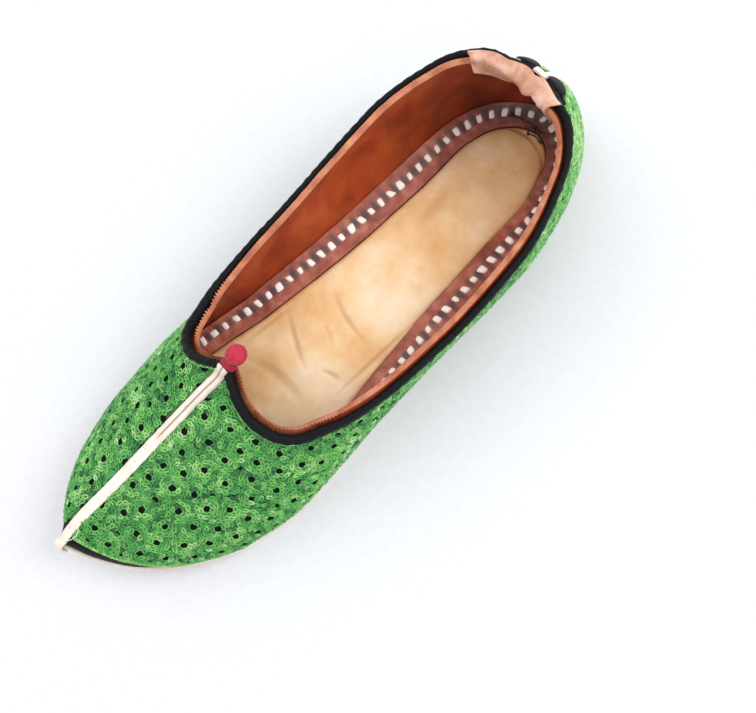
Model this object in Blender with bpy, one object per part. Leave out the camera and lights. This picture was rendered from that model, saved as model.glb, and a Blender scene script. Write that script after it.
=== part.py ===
"""A mojari for the left foot: a soft embroidered slip-on with a pointed, slightly raised toe.

Metres, +Z up. The heel is at +Y, the toe at -Y and the outer side of the foot at +X. The shoe stands
on its heel and its forefoot, on the plane Z = 0, with the middle of its box over the origin.

Everything follows one last. A place on it is a share of the length from the heel, a side, and a lift
from 0 at the sole's edge to 1 on the ridge line over the foot.
"""

import math
from collections import namedtuple

import bpy
from mathutils import Vector

# Main sizes
SHOE_LENGTH = 0.252
BALL_WIDTH = 0.085
INSTEP_HEIGHT = 0.048
BACK_HEIGHT = 0.058

# Sole
SOLE_THICKNESS = 0.0045
SOLE_MARGIN = 0.0012
SOLE_GROOVE = 0.0005
ARCH_RISE = 0.0015
TOE_SPRING = 0.0135

# Upper: cloth outside, leather lining inside
CLOTH_THICKNESS = 0.0013
LINING_THICKNESS = 0.0013
LIP_PROUD = 0.0013

# Rolled cloth binding round the mouth
BINDING_WIDTH = 0.0034
BINDING_DEPTH = 0.0036

# Stitched band round the inside and the insole between its edges
BAND_WIDTH = 0.0072
BAND_EDGE = 0.0026
BAND_RISE = 0.0034
INSOLE_THICKNESS = 0.0022

# Leather trims
TRIM_THICKNESS = 0.0009
TOE_STRIP_WIDTH = 0.0046
BACK_STRIP_WIDTH = 0.0052
FLAP_OUTER_REACH = 0.0115
FLAP_INNER_REACH = 0.0240
FLAP_INSIDE = 0.0085
FLAP_STAND_OFF = 0.0028
KNOT_DIAMETER = 0.0084
KNOT_HEIGHT = 0.0070

# Gap between pieces that touch
GAP = 0.0003

# Divisions
SIDE_COLUMNS = 51
SOLE_COLUMNS = 40
OUTER_ROWS = 14
INNER_ROWS = 12
STRIP_ROWS = 26

# Sections of the last. along: share of SHOE_LENGTH from the heel. outer, inner: widest reach to the
# foot's outer and inner side, shares of BALL_WIDTH. ridge_x: where the ridge line runs, share of
# BALL_WIDTH. ridge: height of the ridge line, share of INSTEP_HEIGHT; behind the throat it is the
# height that the walls lean towards. tuck: how far the wall's foot stands in from its widest place,
# share of BALL_WIDTH. belly: height over which it does, share of INSTEP_HEIGHT. fullness: 2 is an
# ellipse, less is more like a roof.
Section = namedtuple("Section", "along outer inner ridge_x ridge tuck belly fullness")
LAST = (
    Section(0.00, 0.000, 0.000, 0.000, 1.26, 0.036, 0.36, 2.36),
    Section(0.03, 0.200, 0.214, 0.000, 1.31, 0.040, 0.38, 2.34),
    Section(0.08, 0.312, 0.338, 0.000, 1.545, 0.055, 0.42, 2.28),
    Section(0.15, 0.402, 0.412, 0.002, 2.07, 0.085, 0.50, 2.22),
    Section(0.25, 0.475, 0.450, 0.006, 2.70, 0.135, 0.58, 2.20),
    Section(0.35, 0.494, 0.440, 0.010, 2.70, 0.126, 0.60, 2.20),
    Section(0.45, 0.498, 0.424, 0.010, 2.25, 0.094, 0.54, 2.16),
    Section(0.55, 0.506, 0.420, 0.004, 1.55, 0.060, 0.44, 2.08),
    Section(0.62, 0.520, 0.440, -0.012, 1.10, 0.044, 0.34, 1.98),
    Section(0.70, 0.533, 0.456, -0.036, 0.92, 0.032, 0.26, 1.90),
    Section(0.80, 0.488, 0.432, -0.052, 0.745, 0.018, 0.20, 1.86),
    Section(0.88, 0.382, 0.362, -0.056, 0.645, 0.010, 0.16, 1.84),
    Section(0.94, 0.246, 0.252, -0.062, 0.585, 0.006, 0.12, 1.82),
    Section(0.98, 0.077, 0.122, -0.064, 0.520, 0.002, 0.08, 1.80),
    Section(1.00, -0.064, 0.064, -0.064, 0.455, 0.000, 0.06, 1.80),
)

# The mouth's edge on one side, heel to throat. Behind the throat a row gives the edge's height, as a
# share of BACK_HEIGHT; along the throat it gives the distance from the ridge line, as a share of
# BALL_WIDTH. The edge runs forward round a lobe and back to a peak on the ridge line.
Rim = namedtuple("Rim", "along height reach")
RIM_SIDE = (
    Rim(0.00, 1.00, None),
    Rim(0.05, 0.992, None),
    Rim(0.12, 0.95, None),
    Rim(0.20, 0.873, None),
    Rim(0.30, 0.79, None),
    Rim(0.40, 0.72, None),
    Rim(0.50, 0.70, None),
    Rim(0.56, 0.705, None),
    Rim(0.603, None, 0.385),
    Rim(0.631, None, 0.352),
    Rim(0.648, None, 0.292),
    Rim(0.653, None, 0.214),
    Rim(0.648, None, 0.138),
    Rim(0.636, None, 0.062),
    Rim(0.626, None, 0.0),
)
HEEL_CENTRE = 0.14
FAN_START = 0.56

# The sole's underside. along: share of SHOE_LENGTH. rise: share of ARCH_RISE. spring: share of
# TOE_SPRING. The heel and the forefoot are flat on the plane Z = 0.
Tread = namedtuple("Tread", "along rise spring")
TREAD = (
    Tread(0.00, 0.25, 0.0),
    Tread(0.035, 0.0, 0.0),
    Tread(0.20, 0.0, 0.0),
    Tread(0.33, 0.75, 0.0),
    Tread(0.42, 1.0, 0.0),
    Tread(0.51, 0.75, 0.0),
    Tread(0.61, 0.0, 0.0),
    Tread(0.75, 0.0, 0.0),
    Tread(0.82, 0.0, 0.10),
    Tread(0.90, 0.0, 0.40),
    Tread(0.96, 0.0, 0.74),
    Tread(1.00, 0.0, 1.0),
)

# The sole's edge, underside to top. back: inwards from the edge, share of SOLE_GROOVE. up: share of
# SOLE_THICKNESS. Two layers of leather meet in the groove at half height.
EdgeStep = namedtuple("EdgeStep", "back up")
SOLE_EDGE = (
    EdgeStep(1.6, 0.00),
    EdgeStep(0.3, 0.12),
    EdgeStep(0.0, 0.44),
    EdgeStep(1.0, 0.50),
    EdgeStep(0.1, 0.56),
    EdgeStep(0.0, 0.90),
    EdgeStep(0.8, 1.00),
)

# Materials: colour, roughness
CREAM_LEATHER = (0.78, 0.66, 0.54), 0.55
GREEN_EMBROIDERY = (0.09, 0.36, 0.09), 0.8
BLACK_CLOTH = (0.012, 0.013, 0.018), 0.7
BROWN_LEATHER = (0.20, 0.055, 0.035), 0.5
TAN_LEATHER = (0.68, 0.42, 0.19), 0.5
PINK_LEATHER = (0.70, 0.38, 0.26), 0.55
RED_THREAD = (0.55, 0.012, 0.045), 0.8


def through(xs, ys, x):
    """Height at x of a smooth curve through the points, which never swings past them."""
    if x <= xs[0]:
        return ys[0]
    if x >= xs[-1]:
        return ys[-1]
    last = len(xs) - 1
    slopes = [(ys[i + 1] - ys[i]) / (xs[i + 1] - xs[i]) for i in range(last)]
    i = max(k for k in range(last) if xs[k] <= x)

    def tangent(k):
        if k == 0:
            return slopes[0]
        if k == last:
            return slopes[-1]
        before, after = slopes[k - 1], slopes[k]
        if before * after <= 0.0:
            return 0.0
        return 2.0 * before * after / (before + after)

    step = xs[i + 1] - xs[i]
    t = (x - xs[i]) / step
    t2, t3 = t * t, t * t * t
    return (
        ys[i] * (2 * t3 - 3 * t2 + 1)
        + tangent(i) * step * (t3 - 2 * t2 + t)
        + ys[i + 1] * (3 * t2 - 2 * t3)
        + tangent(i + 1) * step * (t3 - t2)
    )


# Rounding the heel goes with the square root of the distance, so the tables are read along that.
LAST_ROOTS = [math.sqrt(row.along) for row in LAST]
LAST_COLUMNS = {name: [getattr(row, name) for row in LAST] for name in Section._fields}
TREAD_PLACES = [row.along for row in TREAD]


def last_value(name, along):
    """One column of the last's table at a share of the length."""
    return through(LAST_ROOTS, LAST_COLUMNS[name], math.sqrt(min(max(along, 0.0), 1.0)))


def place_of(along):
    """Y of a share of the length."""
    return SHOE_LENGTH * (0.5 - along)


def tread_height(y):
    """Height of the sole's underside at Y."""
    along = 0.5 - y / SHOE_LENGTH
    rise = through(TREAD_PLACES, [row.rise for row in TREAD], along)
    spring = through(TREAD_PLACES, [row.spring for row in TREAD], along)
    return ARCH_RISE * rise + TOE_SPRING * spring


def sole_top(y):
    """Height of the sole's upper side at Y."""
    return tread_height(y) + SOLE_THICKNESS


def spoke(side, along):
    """Middle of the last, the direction to the side's widest place, and the distance."""
    hub_along = max(along, HEEL_CENTRE)
    hub = Vector((last_value("ridge_x", hub_along) * BALL_WIDTH, place_of(hub_along)))
    reach = last_value("outer", along) if side > 0 else -last_value("inner", along)
    rim = Vector((reach * BALL_WIDTH, place_of(along)))
    arm = rim - hub
    if arm.length < 1e-7:
        return hub, Vector((0.0, -1.0)), 0.0
    return hub, arm.normalized(), arm.length


def on_last(side, along, lift, inset=0.0):
    """Point on the last, inset below its surface, or above it where inset is negative."""
    hub, direction, reach = spoke(side, along)
    if inset != 0.0:
        reach -= inset * (1.0 - math.exp(-(reach / inset) ** 2))
    power = 2.0 / last_value("fullness", along)
    angle = lift * math.pi / 2.0
    across = max(math.cos(angle), 0.0) ** power
    up = max(math.sin(angle), 0.0) ** power
    ridge = last_value("ridge", along) * INSTEP_HEIGHT - inset
    flat = hub + direction * (reach * across)
    floor = sole_top(flat.y) + GAP
    height = max(ridge - floor, GAP) * up
    belly = last_value("belly", along) * INSTEP_HEIGHT
    tuck = last_value("tuck", along) * BALL_WIDTH * max(0.0, 1.0 - height / belly) ** 2
    flat = hub + direction * max(reach * across - tuck, 0.0)
    return Vector((flat.x, flat.y, sole_top(flat.y) + GAP + height))


def lift_at_height(along, height, inset=0.0):
    """Lift at which the last reaches a height."""
    floor = sole_top(place_of(along)) + GAP
    ridge = last_value("ridge", along) * INSTEP_HEIGHT - inset
    share = min((height - floor) / (ridge - floor), 1.0)
    return math.asin(share ** (last_value("fullness", along) / 2.0)) / (math.pi / 2.0)


def lift_at_reach(along, distance):
    """Lift at which the last is a distance away from its ridge line."""
    _, _, widest = spoke(1, along)
    share = min(distance / widest, 1.0)
    return math.acos(share ** (last_value("fullness", along) / 2.0)) / (math.pi / 2.0)


def rim_places():
    """The mouth's edge on one side as (along, lift), close together."""
    marks = []
    for row in RIM_SIDE:
        if row.reach is None:
            lift = lift_at_height(row.along, row.height * BACK_HEIGHT)
        else:
            lift = lift_at_reach(row.along, row.reach * BALL_WIDTH)
        marks.append((row.along, lift))
    knots = [0.0]
    for before, after in zip(marks, marks[1:]):
        knots.append(knots[-1] + math.hypot(after[0] - before[0], 0.12 * (after[1] - before[1])))
    alongs, lifts = [m[0] for m in marks], [m[1] for m in marks]
    heights = [row.height * BACK_HEIGHT for row in RIM_SIDE if row.reach is None]
    sides = len(heights)
    steps = 400
    places = []
    for k in range(steps + 1):
        spot = knots[-1] * k / steps
        along = through(knots, alongs, spot)
        if spot <= knots[sides - 1]:
            lift = lift_at_height(along, through(knots[:sides], heights, spot))
        else:
            lift = through(knots, lifts, spot)
        places.append((along, lift))
    return places


def running_length(points):
    """Distance along a row of points, from the first."""
    total = [0.0]
    for before, after in zip(points, points[1:]):
        total.append(total[-1] + (after - before).length)
    return total


def base_shares(count):
    """Shares of the length at even steps round one side of the wall's foot."""
    fine = [(k / 600.0) ** 2 for k in range(601)]
    walked = running_length([on_last(1, along, 0.0) for along in fine])
    return [through(walked, fine, walked[-1] * k / count) for k in range(count + 1)]


def build_columns():
    """Start and end of every column of one side: ((along, lift) on the rim, along at the foot)."""
    rim = rim_places()
    walked = running_length([on_last(1, along, lift) for along, lift in rim])
    feet = base_shares(SIDE_COLUMNS)
    rim_alongs, rim_lifts = [r[0] for r in rim], [r[1] for r in rim]
    straight = [k for k, foot in enumerate(feet) if foot < FAN_START]
    first_fan = straight[-1]
    turn = max(range(len(rim)), key=lambda k: rim_alongs[k])
    start = through(rim_alongs[:turn + 1], walked[:turn + 1], feet[first_fan])
    columns = []
    for k, foot in enumerate(feet):
        if k <= first_fan:
            columns.append(((foot, through(rim_alongs[:turn + 1], rim_lifts[:turn + 1], foot)), foot))
            continue
        share = (k - first_fan) / (SIDE_COLUMNS - first_fan)
        spot = start + (walked[-1] - start) * share
        begin = through(walked, rim_alongs, spot), through(walked, rim_lifts, spot)
        columns.append((begin, foot))
    return columns, first_fan


COLUMNS, FIRST_FAN = build_columns()


def column_place(k, u):
    """Place (along, lift) a share u of the way down column k, rim to foot."""
    (along, lift), foot = COLUMNS[k]
    u = min(u, 1.0)
    fan = max(0.0, (k - FIRST_FAN) / (SIDE_COLUMNS - FIRST_FAN))
    forward = 1.0 - (1.0 - u) ** (1.0 + 1.2 * fan ** 4)
    down = 1.0 - u ** (1.0 + 5.0 * fan ** 3)
    if k == SIDE_COLUMNS:
        down = 1.0 if u < 1.0 else 0.0
    return along + (foot - along) * forward, lift * down


def short_of_tip(along, inset):
    """Share of the length pulled back near the toe, so that the inside ends short of the tip."""
    near_tip = max(0.0, (along - 0.8) / 0.2)
    return along - 2.0 * max(inset, 0.0) / SHOE_LENGTH * near_tip ** 2


def column_point(side, k, u, inset):
    """Point a share u of the way down column k, inset below the surface."""
    along, lift = column_place(k, u)
    return on_last(side, short_of_tip(along, inset), lift, inset)


def share_at_depth(side, k, depth, inset):
    """Share u at which column k has run a distance down from the rim."""
    spots = [j / 60.0 for j in range(61)]
    walked = running_length([column_point(side, k, u, inset) for u in spots])
    return through(walked, spots, depth)


def loop_of_columns():
    """(side, k) once round the shoe: back, outer side, toe, inner side."""
    outward = [(1, k) for k in range(0, SIDE_COLUMNS + 1)]
    homeward = [(-1, k) for k in range(SIDE_COLUMNS - 1, 0, -1)]
    return outward + homeward


def make_object(name, vertices, faces, look, sharp=35.0):
    """Mesh object with its own material, shaded smooth up to an angle."""
    mesh = bpy.data.meshes.new(name)
    mesh.from_pydata([tuple(v) for v in vertices], [], faces)
    mesh.shade_smooth()
    mesh.set_sharp_from_angle(angle=math.radians(sharp))
    colour, roughness = look
    material = bpy.data.materials.new(name + "_finish")
    material.use_nodes = True
    shader = material.node_tree.nodes["Principled BSDF"]
    shader.inputs["Base Color"].default_value = (*colour, 1.0)
    shader.inputs["Roughness"].default_value = roughness
    material.diffuse_color = (*colour, 1.0)
    mesh.materials.append(material)
    piece = bpy.data.objects.new(name, mesh)
    bpy.context.collection.objects.link(piece)
    return piece


def ring_body(rings):
    """Vertices and faces of a closed band: each ring is one closed cross-section, in order."""
    size = len(rings[0])
    vertices = [point for ring in rings for point in ring]
    faces = []
    for i in range(len(rings)):
        j = (i + 1) % len(rings)
        for a in range(size):
            b = (a + 1) % size
            faces.append((i * size + a, i * size + b, j * size + b, j * size + a))
    return vertices, faces


def tube_body(rings):
    """Vertices and faces of an open run of cross-sections, with both ends closed."""
    vertices, faces = ring_body(rings)
    size = len(rings[0])
    faces = [face[::-1] for face in faces[:-size]]
    faces.append(tuple(range(size)))
    faces.append(tuple(range((len(rings) - 1) * size, len(rings) * size))[::-1])
    return vertices, faces


def upper_ring(side, k):
    """Cross-section of the upper's wall down column k, from the rim's step round and back."""
    wall = CLOTH_THICKNESS + LINING_THICKNESS
    step = share_at_depth(side, k, LIP_PROUD + BINDING_DEPTH + GAP, CLOTH_THICKNESS)
    outside = [step + (1.0 - step) * j / OUTER_ROWS for j in range(OUTER_ROWS + 1)]
    inside = [1.0 - j / INNER_ROWS for j in range(INNER_ROWS + 1)]
    ring = [column_point(side, k, u, 0.0) for u in outside]
    ring += [column_point(side, k, u, wall) for u in inside]
    ring += [column_point(side, k, 0.0, CLOTH_THICKNESS)]
    ring += [column_point(side, k, step, CLOTH_THICKNESS)]
    return ring


def build_upper():
    """The upper: one wall, open at the mouth and underneath, with a step for the binding."""
    rings = [upper_ring(side, k)[::-1] for side, k in loop_of_columns()]
    return make_object("upper", *ring_body(rings), GREEN_EMBROIDERY)


def rim_frame(side, k):
    """Top of the lip's outer face on column k, with the directions up and out of the wall."""
    step = share_at_depth(side, k, LIP_PROUD + BINDING_DEPTH + GAP, CLOTH_THICKNESS)
    top = column_point(side, k, 0.0, CLOTH_THICKNESS)
    ledge = column_point(side, k, step, CLOTH_THICKNESS)
    up = (top - ledge).normalized()
    out = column_point(side, k, step, 0.0) - ledge
    out = (out - up * out.dot(up)).normalized()
    return top, up, out


def build_binding():
    """Rolled cloth on the rim's step, against the lip that stands inside it."""
    rings = []
    for side, k in loop_of_columns():
        top, up, out = rim_frame(side, k)
        middle = top - up * (LIP_PROUD + BINDING_DEPTH / 2.0) + out * (1.6 * GAP + BINDING_WIDTH / 2.0)
        ring = []
        for j in range(8):
            angle = math.pi * (2 * j + 1) / 8.0
            a, b = math.cos(angle), math.sin(angle)
            round_off = 1.0 / max(abs(a), abs(b)) ** 0.45
            shift = out * (a * round_off * BINDING_WIDTH / 2.0) + up * (b * round_off * BINDING_DEPTH / 2.0)
            ring.append(middle + shift)
        rings.append(ring)
    return make_object("topline_binding", *ring_body(rings), BLACK_CLOTH, sharp=60.0)


def foot_edge(side, along, grow):
    """Plan point a distance outside the wall's foot, or inside it where grow is negative."""
    if along >= 1.0:
        tip = on_last(side, 1.0, 0.0)
        return Vector((tip.x, tip.y - grow * 1.25))
    near = 2e-3 * max(along, 1e-4) ** 0.5
    before = on_last(side, max(along - near, 0.0), 0.0)
    after = on_last(side, min(along + near, 1.0), 0.0)
    if along == 0.0:
        outward = Vector((0.0, 1.0))
    else:
        run = (after - before).to_2d().normalized()
        outward = Vector((-run.y, run.x)) * side
    here = on_last(side, along, 0.0)
    return Vector((here.x, here.y)) + outward * grow


def loop_of_shares(count):
    """(side, along) once round the wall's foot: back, outer side, toe, inner side."""
    shares = base_shares(count)
    return [(1, share) for share in shares] + [(-1, share) for share in shares[-2:0:-1]]


def ladder(loop_size, first, flip):
    """Faces that close a loop of an outline with rungs across, from back to toe."""
    half = loop_size // 2
    faces = [(first, first + 1, first + loop_size - 1)]
    for k in range(1, half - 1):
        faces.append((first + k, first + k + 1, first + loop_size - k - 1, first + loop_size - k))
    faces.append((first + half - 1, first + half, first + half + 1))
    return [face[::-1] for face in faces] if flip else faces


def stacked_body(levels):
    """Closed body from stacked loops of one outline, bottom first, with ladders at both ends."""
    size = len(levels[0])
    vertices = [point for level in levels for point in level]
    faces = ladder(size, 0, False)
    for n in range(len(levels) - 1):
        for a in range(size):
            b = (a + 1) % size
            faces.append((n * size + a, (n + 1) * size + a, (n + 1) * size + b, n * size + b))
    faces += ladder(size, (len(levels) - 1) * size, True)
    return vertices, faces


def build_outsole():
    """Leather sole in two layers, flat at heel and forefoot, with an arch and a raised toe."""
    levels = []
    for step in SOLE_EDGE:
        grow = SOLE_MARGIN - step.back * SOLE_GROOVE
        plan = [foot_edge(side, along, grow) for side, along in loop_of_shares(SOLE_COLUMNS)]
        levels.append([Vector((p.x, p.y, tread_height(p.y) + step.up * SOLE_THICKNESS)) for p in plan])
    return make_object("outsole", *stacked_body(levels), CREAM_LEATHER)


def inside(side, along, depth, height=0.0):
    """Point inside the wall, a depth in from its inner face and a height above the sole."""
    inset = CLOTH_THICKNESS + LINING_THICKNESS + depth
    along = short_of_tip(along, inset)
    lift = lift_at_height(along, sole_top(place_of(along)) + GAP + height, inset) if height else 0.0
    point = on_last(side, along, lift, inset)
    return Vector((point.x, point.y, sole_top(point.y) + GAP + height))


def headroom(along, depth):
    """Height of the cavity under the ridge line."""
    inset = CLOTH_THICKNESS + LINING_THICKNESS + depth
    along = short_of_tip(along, inset)
    return last_value("ridge", along) * INSTEP_HEIGHT - inset - sole_top(place_of(along))


def build_inner_band():
    """Stitched leather band lying in the corner between wall and sole, all the way round."""
    rings = []
    for side, along in loop_of_shares(SOLE_COLUMNS):
        squeeze = min(1.0, 0.30 * headroom(along, GAP) / (BAND_EDGE + BAND_RISE))
        edge, rise = BAND_EDGE * squeeze, BAND_RISE * squeeze
        foot = inside(side, along, GAP)
        top = inside(side, along, 2.0 * GAP, edge + rise)
        slope = inside(side, along, GAP + BAND_WIDTH * 0.45)
        rim = inside(side, along, GAP + BAND_WIDTH)
        rings.append([
            foot,
            top,
            slope + Vector((0.0, 0.0, edge + rise * 0.35)),
            rim + Vector((0.0, 0.0, edge)),
            rim,
        ])
    return make_object("inner_band", *ring_body(rings), BROWN_LEATHER)


def build_insole():
    """Insole lying on the sole between the band's edges."""
    plan = [inside(side, along, 2.0 * GAP + BAND_WIDTH) for side, along in loop_of_shares(SOLE_COLUMNS)]
    levels = [[p + Vector((0.0, 0.0, up)) for p in plan] for up in (0.0, INSOLE_THICKNESS)]
    return make_object("insole", *stacked_body(levels), TAN_LEATHER)


def build_toe_strip():
    """Leather strip along the ridge, from the throat's peak over the tip to the sole's edge."""
    begin, _ = column_place(SIDE_COLUMNS, 0.0)
    begin += (LIP_PROUD + BINDING_DEPTH + TOE_STRIP_WIDTH / 2.0) / SHOE_LENGTH
    end = 1.0 - 0.45 * TOE_STRIP_WIDTH / SHOE_LENGTH
    half = TOE_STRIP_WIDTH / 2.0
    rings = []
    for k in range(STRIP_ROWS + 1):
        along = begin + (end - begin) * k / STRIP_ROWS
        low, high = [], []
        for share in (-1.0, -0.5, 0.0, 0.5, 1.0):
            lift = lift_at_reach(along, abs(share) * half)
            side = 1 if share >= 0.0 else -1
            base = on_last(side, along, lift)
            low.append(Vector((base.x, base.y, base.z + GAP)))
            high.append(Vector((base.x, base.y, base.z + GAP + TRIM_THICKNESS)))
        rings.append(low + high[::-1])
    tip = on_last(1, 1.0, 0.0)
    front = tip.y - SOLE_MARGIN * 1.25 - GAP
    spread = rings[-1]
    crown = max(p.z for p in spread) - TRIM_THICKNESS
    foot = tread_height(front) + SOLE_THICKNESS * 0.3
    for turn, drop in ((0.55, 0.10), (0.86, 0.34), (1.0, 0.62), (1.0, 1.0)):
        ring = []
        for n, p in enumerate(spread):
            skin = TRIM_THICKNESS if n >= 5 else 0.0
            angle = min(turn, 1.0) * math.pi / 2.0
            y = spread[2].y + (front - spread[2].y) * turn - skin * math.sin(angle)
            bow = 0.10 * abs(p.x - spread[2].x)
            z = crown + (foot - crown) * drop + skin * math.cos(angle) - bow * math.cos(angle)
            ring.append(Vector((p.x, y + bow * math.sin(angle), z)))
        rings.append(ring)
    vertices, faces = tube_body([ring[::-1] for ring in rings])
    return make_object("toe_strip", vertices, faces, CREAM_LEATHER)


def build_knot():
    """Ball of wound thread at the end of the throat's peak."""
    top, up, out = rim_frame(1, SIDE_COLUMNS)
    centre = top + up * (KNOT_DIAMETER / 2.0 - LIP_PROUD + GAP) + out * (BINDING_WIDTH * 0.8)
    radius = KNOT_DIAMETER / 2.0
    vertices, faces = [centre + Vector((0.0, 0.0, -KNOT_HEIGHT / 2.0))], []
    around, levels = 14, 7
    for level in range(1, levels):
        tilt = math.pi * level / levels
        for j in range(around):
            turn = 2.0 * math.pi * j / around
            reach = math.sin(tilt) * radius
            drop = -math.cos(tilt) * KNOT_HEIGHT / 2.0
            vertices.append(centre + Vector((reach * math.cos(turn), reach * math.sin(turn), drop)))
    vertices.append(centre + Vector((0.0, 0.0, KNOT_HEIGHT / 2.0)))
    for j in range(around):
        n = (j + 1) % around
        faces.append((0, 1 + n, 1 + j))
        for level in range(levels - 2):
            a = 1 + level * around
            b = a + around
            faces.append((a + j, a + n, b + n, b + j))
        a = 1 + (levels - 2) * around
        faces.append((a + j, a + n, len(vertices) - 1))
    return make_object("throat_knot", vertices, faces, RED_THREAD)


def flap_ring(side, k, inner_share):
    """Cross-section of the heel flap on column k: up the lining, over the rim, onto the binding.

    inner_share is 1 at the flap's end on the foot's inner side, where it hangs less far down inside.
    """
    wall = CLOTH_THICKNESS + LINING_THICKNESS
    top, up, out = rim_frame(side, k)
    hang = FLAP_INSIDE * (1.0 - 0.65 * max(0.0, (inner_share - 0.35) / 0.65))
    under = []
    for depth in (1.0, 0.66, 0.33):
        u = share_at_depth(side, k, hang * depth, wall)
        under.append((column_point(side, k, u, wall) - out * (GAP + FLAP_STAND_OFF * depth), -out))
    inner_top = column_point(side, k, 0.0, wall)
    under.append((inner_top - out * GAP, (up - out).normalized()))
    under.append((top + up * GAP - out * LINING_THICKNESS * 0.4, up))
    reach = GAP * 2.0 + BINDING_WIDTH
    under.append((top - up * (LIP_PROUD * 0.3) + out * (reach * 0.55), (up + out * 0.4).normalized()))
    under.append((top - up * (LIP_PROUD + BINDING_DEPTH * 0.05) + out * (reach * 0.98), (out + up).normalized()))
    low = [point for point, _ in under]
    high = [point + way * TRIM_THICKNESS for point, way in under]
    return low + high[::-1]


def build_heel_flap():
    """Leather flap folded over the back of the mouth."""
    back = running_length([column_point(1, k, 0.0, 0.0) for k in range(SIDE_COLUMNS)])
    inner_end = max(k for k in range(SIDE_COLUMNS) if back[k] <= FLAP_INNER_REACH)
    outer_end = max(k for k in range(SIDE_COLUMNS) if back[k] <= FLAP_OUTER_REACH)
    run = [(-1, k) for k in range(inner_end, 0, -1)] + [(1, k) for k in range(0, outer_end + 1)]
    rings = [flap_ring(side, k, back[k] / FLAP_INNER_REACH if side < 0 else 0.0)[::-1] for side, k in run]
    return make_object("heel_flap", *tube_body(rings), PINK_LEATHER)


def share_at_half_width(distance):
    """Share of the length at which the rounded heel is a distance wide on one side."""
    low, high = 0.0, LAST[1].along
    for _ in range(40):
        middle = (low + high) / 2.0
        if last_value("outer", middle) * BALL_WIDTH < distance:
            low = middle
        else:
            high = middle
    return low


def build_back_strip():
    """Leather strip from the heel flap over the binding and down the middle of the heel to the sole."""
    half = BACK_STRIP_WIDTH / 2.0
    shares = (-1.0, -0.5, 0.0, 0.5, 1.0)
    top, up, out = rim_frame(1, 0)
    rings = []
    # Out of the cloth and up from the binding's foot, for the strip's under face and its outer face
    over_binding = (
        ((1.34, 0.42), (1.60, 0.42)),
        ((1.34, 0.14), (1.60, 0.11)),
        ((1.23, -0.19), (1.50, -0.37)),
        ((0.65, -0.31), (0.85, -0.59)),
    )
    for under, outer in over_binding:
        low, high = [], []
        for share in shares:
            aside = Vector((share * half, 0.0, 0.0))
            for places, line in ((under, low), (outer, high)):
                rise = BINDING_DEPTH * (1.0 - places[1]) + LIP_PROUD
                line.append(top - up * rise + out * (BINDING_WIDTH * places[0]) + aside)
        rings.append(low + high[::-1])
    step = share_at_depth(1, 0, LIP_PROUD + BINDING_DEPTH * 1.75, 0.0)
    _, rim_lift = column_place(0, step)
    rows = 14
    for row in range(rows + 1):
        lift = rim_lift * (1.0 - row / rows)
        low, high = [], []
        for share in shares:
            along = share_at_half_width(abs(share) * half)
            side = 1 if share >= 0.0 else -1
            low.append(on_last(side, along, lift, -GAP))
            high.append(on_last(side, along, lift, -GAP - TRIM_THICKNESS))
        rings.append(low + high[::-1])
    return make_object("back_strip", *tube_body(rings), CREAM_LEATHER)


def centre_over_origin(pieces):
    """Move every mesh so that the middle of the whole shoe's box is over the origin."""
    corners = [v.co for piece in pieces for v in piece.data.vertices]
    shift_x = -(min(c.x for c in corners) + max(c.x for c in corners)) / 2.0
    shift_y = -(min(c.y for c in corners) + max(c.y for c in corners)) / 2.0
    lowest = min(c.z for c in corners)
    for piece in pieces:
        for vertex in piece.data.vertices:
            vertex.co += Vector((shift_x, shift_y, -lowest))


def main():
    for old in list(bpy.data.objects):
        bpy.data.objects.remove(old, do_unlink=True)
    pieces = [
        build_outsole(),
        build_upper(),
        build_binding(),
        build_inner_band(),
        build_insole(),
        build_toe_strip(),
        build_knot(),
        build_heel_flap(),
        build_back_strip(),
    ]
    centre_over_origin(pieces)


if __name__ == "__main__":
    main()
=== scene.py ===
"""A left mojari in its finished looks: green chain stitch on black cotton, brown and cream leather.

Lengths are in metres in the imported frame: heel at +Y, toe at -Y, the foot's outer side at +X, +Z up.
"""

import logging
import math
from dataclasses import dataclass, field
from enum import Enum
from typing import Any, Optional, Sequence

import bmesh
import bpy
import numpy as np
from mathutils import Matrix, Vector
from mathutils.bvhtree import BVHTree


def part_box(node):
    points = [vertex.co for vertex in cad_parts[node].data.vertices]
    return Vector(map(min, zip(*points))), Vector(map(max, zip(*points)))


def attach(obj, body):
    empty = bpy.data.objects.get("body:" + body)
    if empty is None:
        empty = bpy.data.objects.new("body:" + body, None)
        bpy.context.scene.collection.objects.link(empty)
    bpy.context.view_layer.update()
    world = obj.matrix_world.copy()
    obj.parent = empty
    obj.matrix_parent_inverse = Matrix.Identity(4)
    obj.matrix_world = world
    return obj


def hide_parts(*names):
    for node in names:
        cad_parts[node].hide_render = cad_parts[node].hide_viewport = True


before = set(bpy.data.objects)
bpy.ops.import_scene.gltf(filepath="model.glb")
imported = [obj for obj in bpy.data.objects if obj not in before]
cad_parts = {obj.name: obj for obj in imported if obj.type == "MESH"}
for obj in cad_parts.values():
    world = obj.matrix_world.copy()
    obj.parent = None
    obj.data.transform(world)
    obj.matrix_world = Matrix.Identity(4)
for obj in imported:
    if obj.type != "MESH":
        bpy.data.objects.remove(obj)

MM = 0.001
LOG = logging.getLogger("mojari")
Grid = np.ndarray


class Side(Enum):
    """The two sides of the foot."""

    OUTER = 1.0
    INNER = -1.0


# ---------------------------------------------------------------- materials


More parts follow.
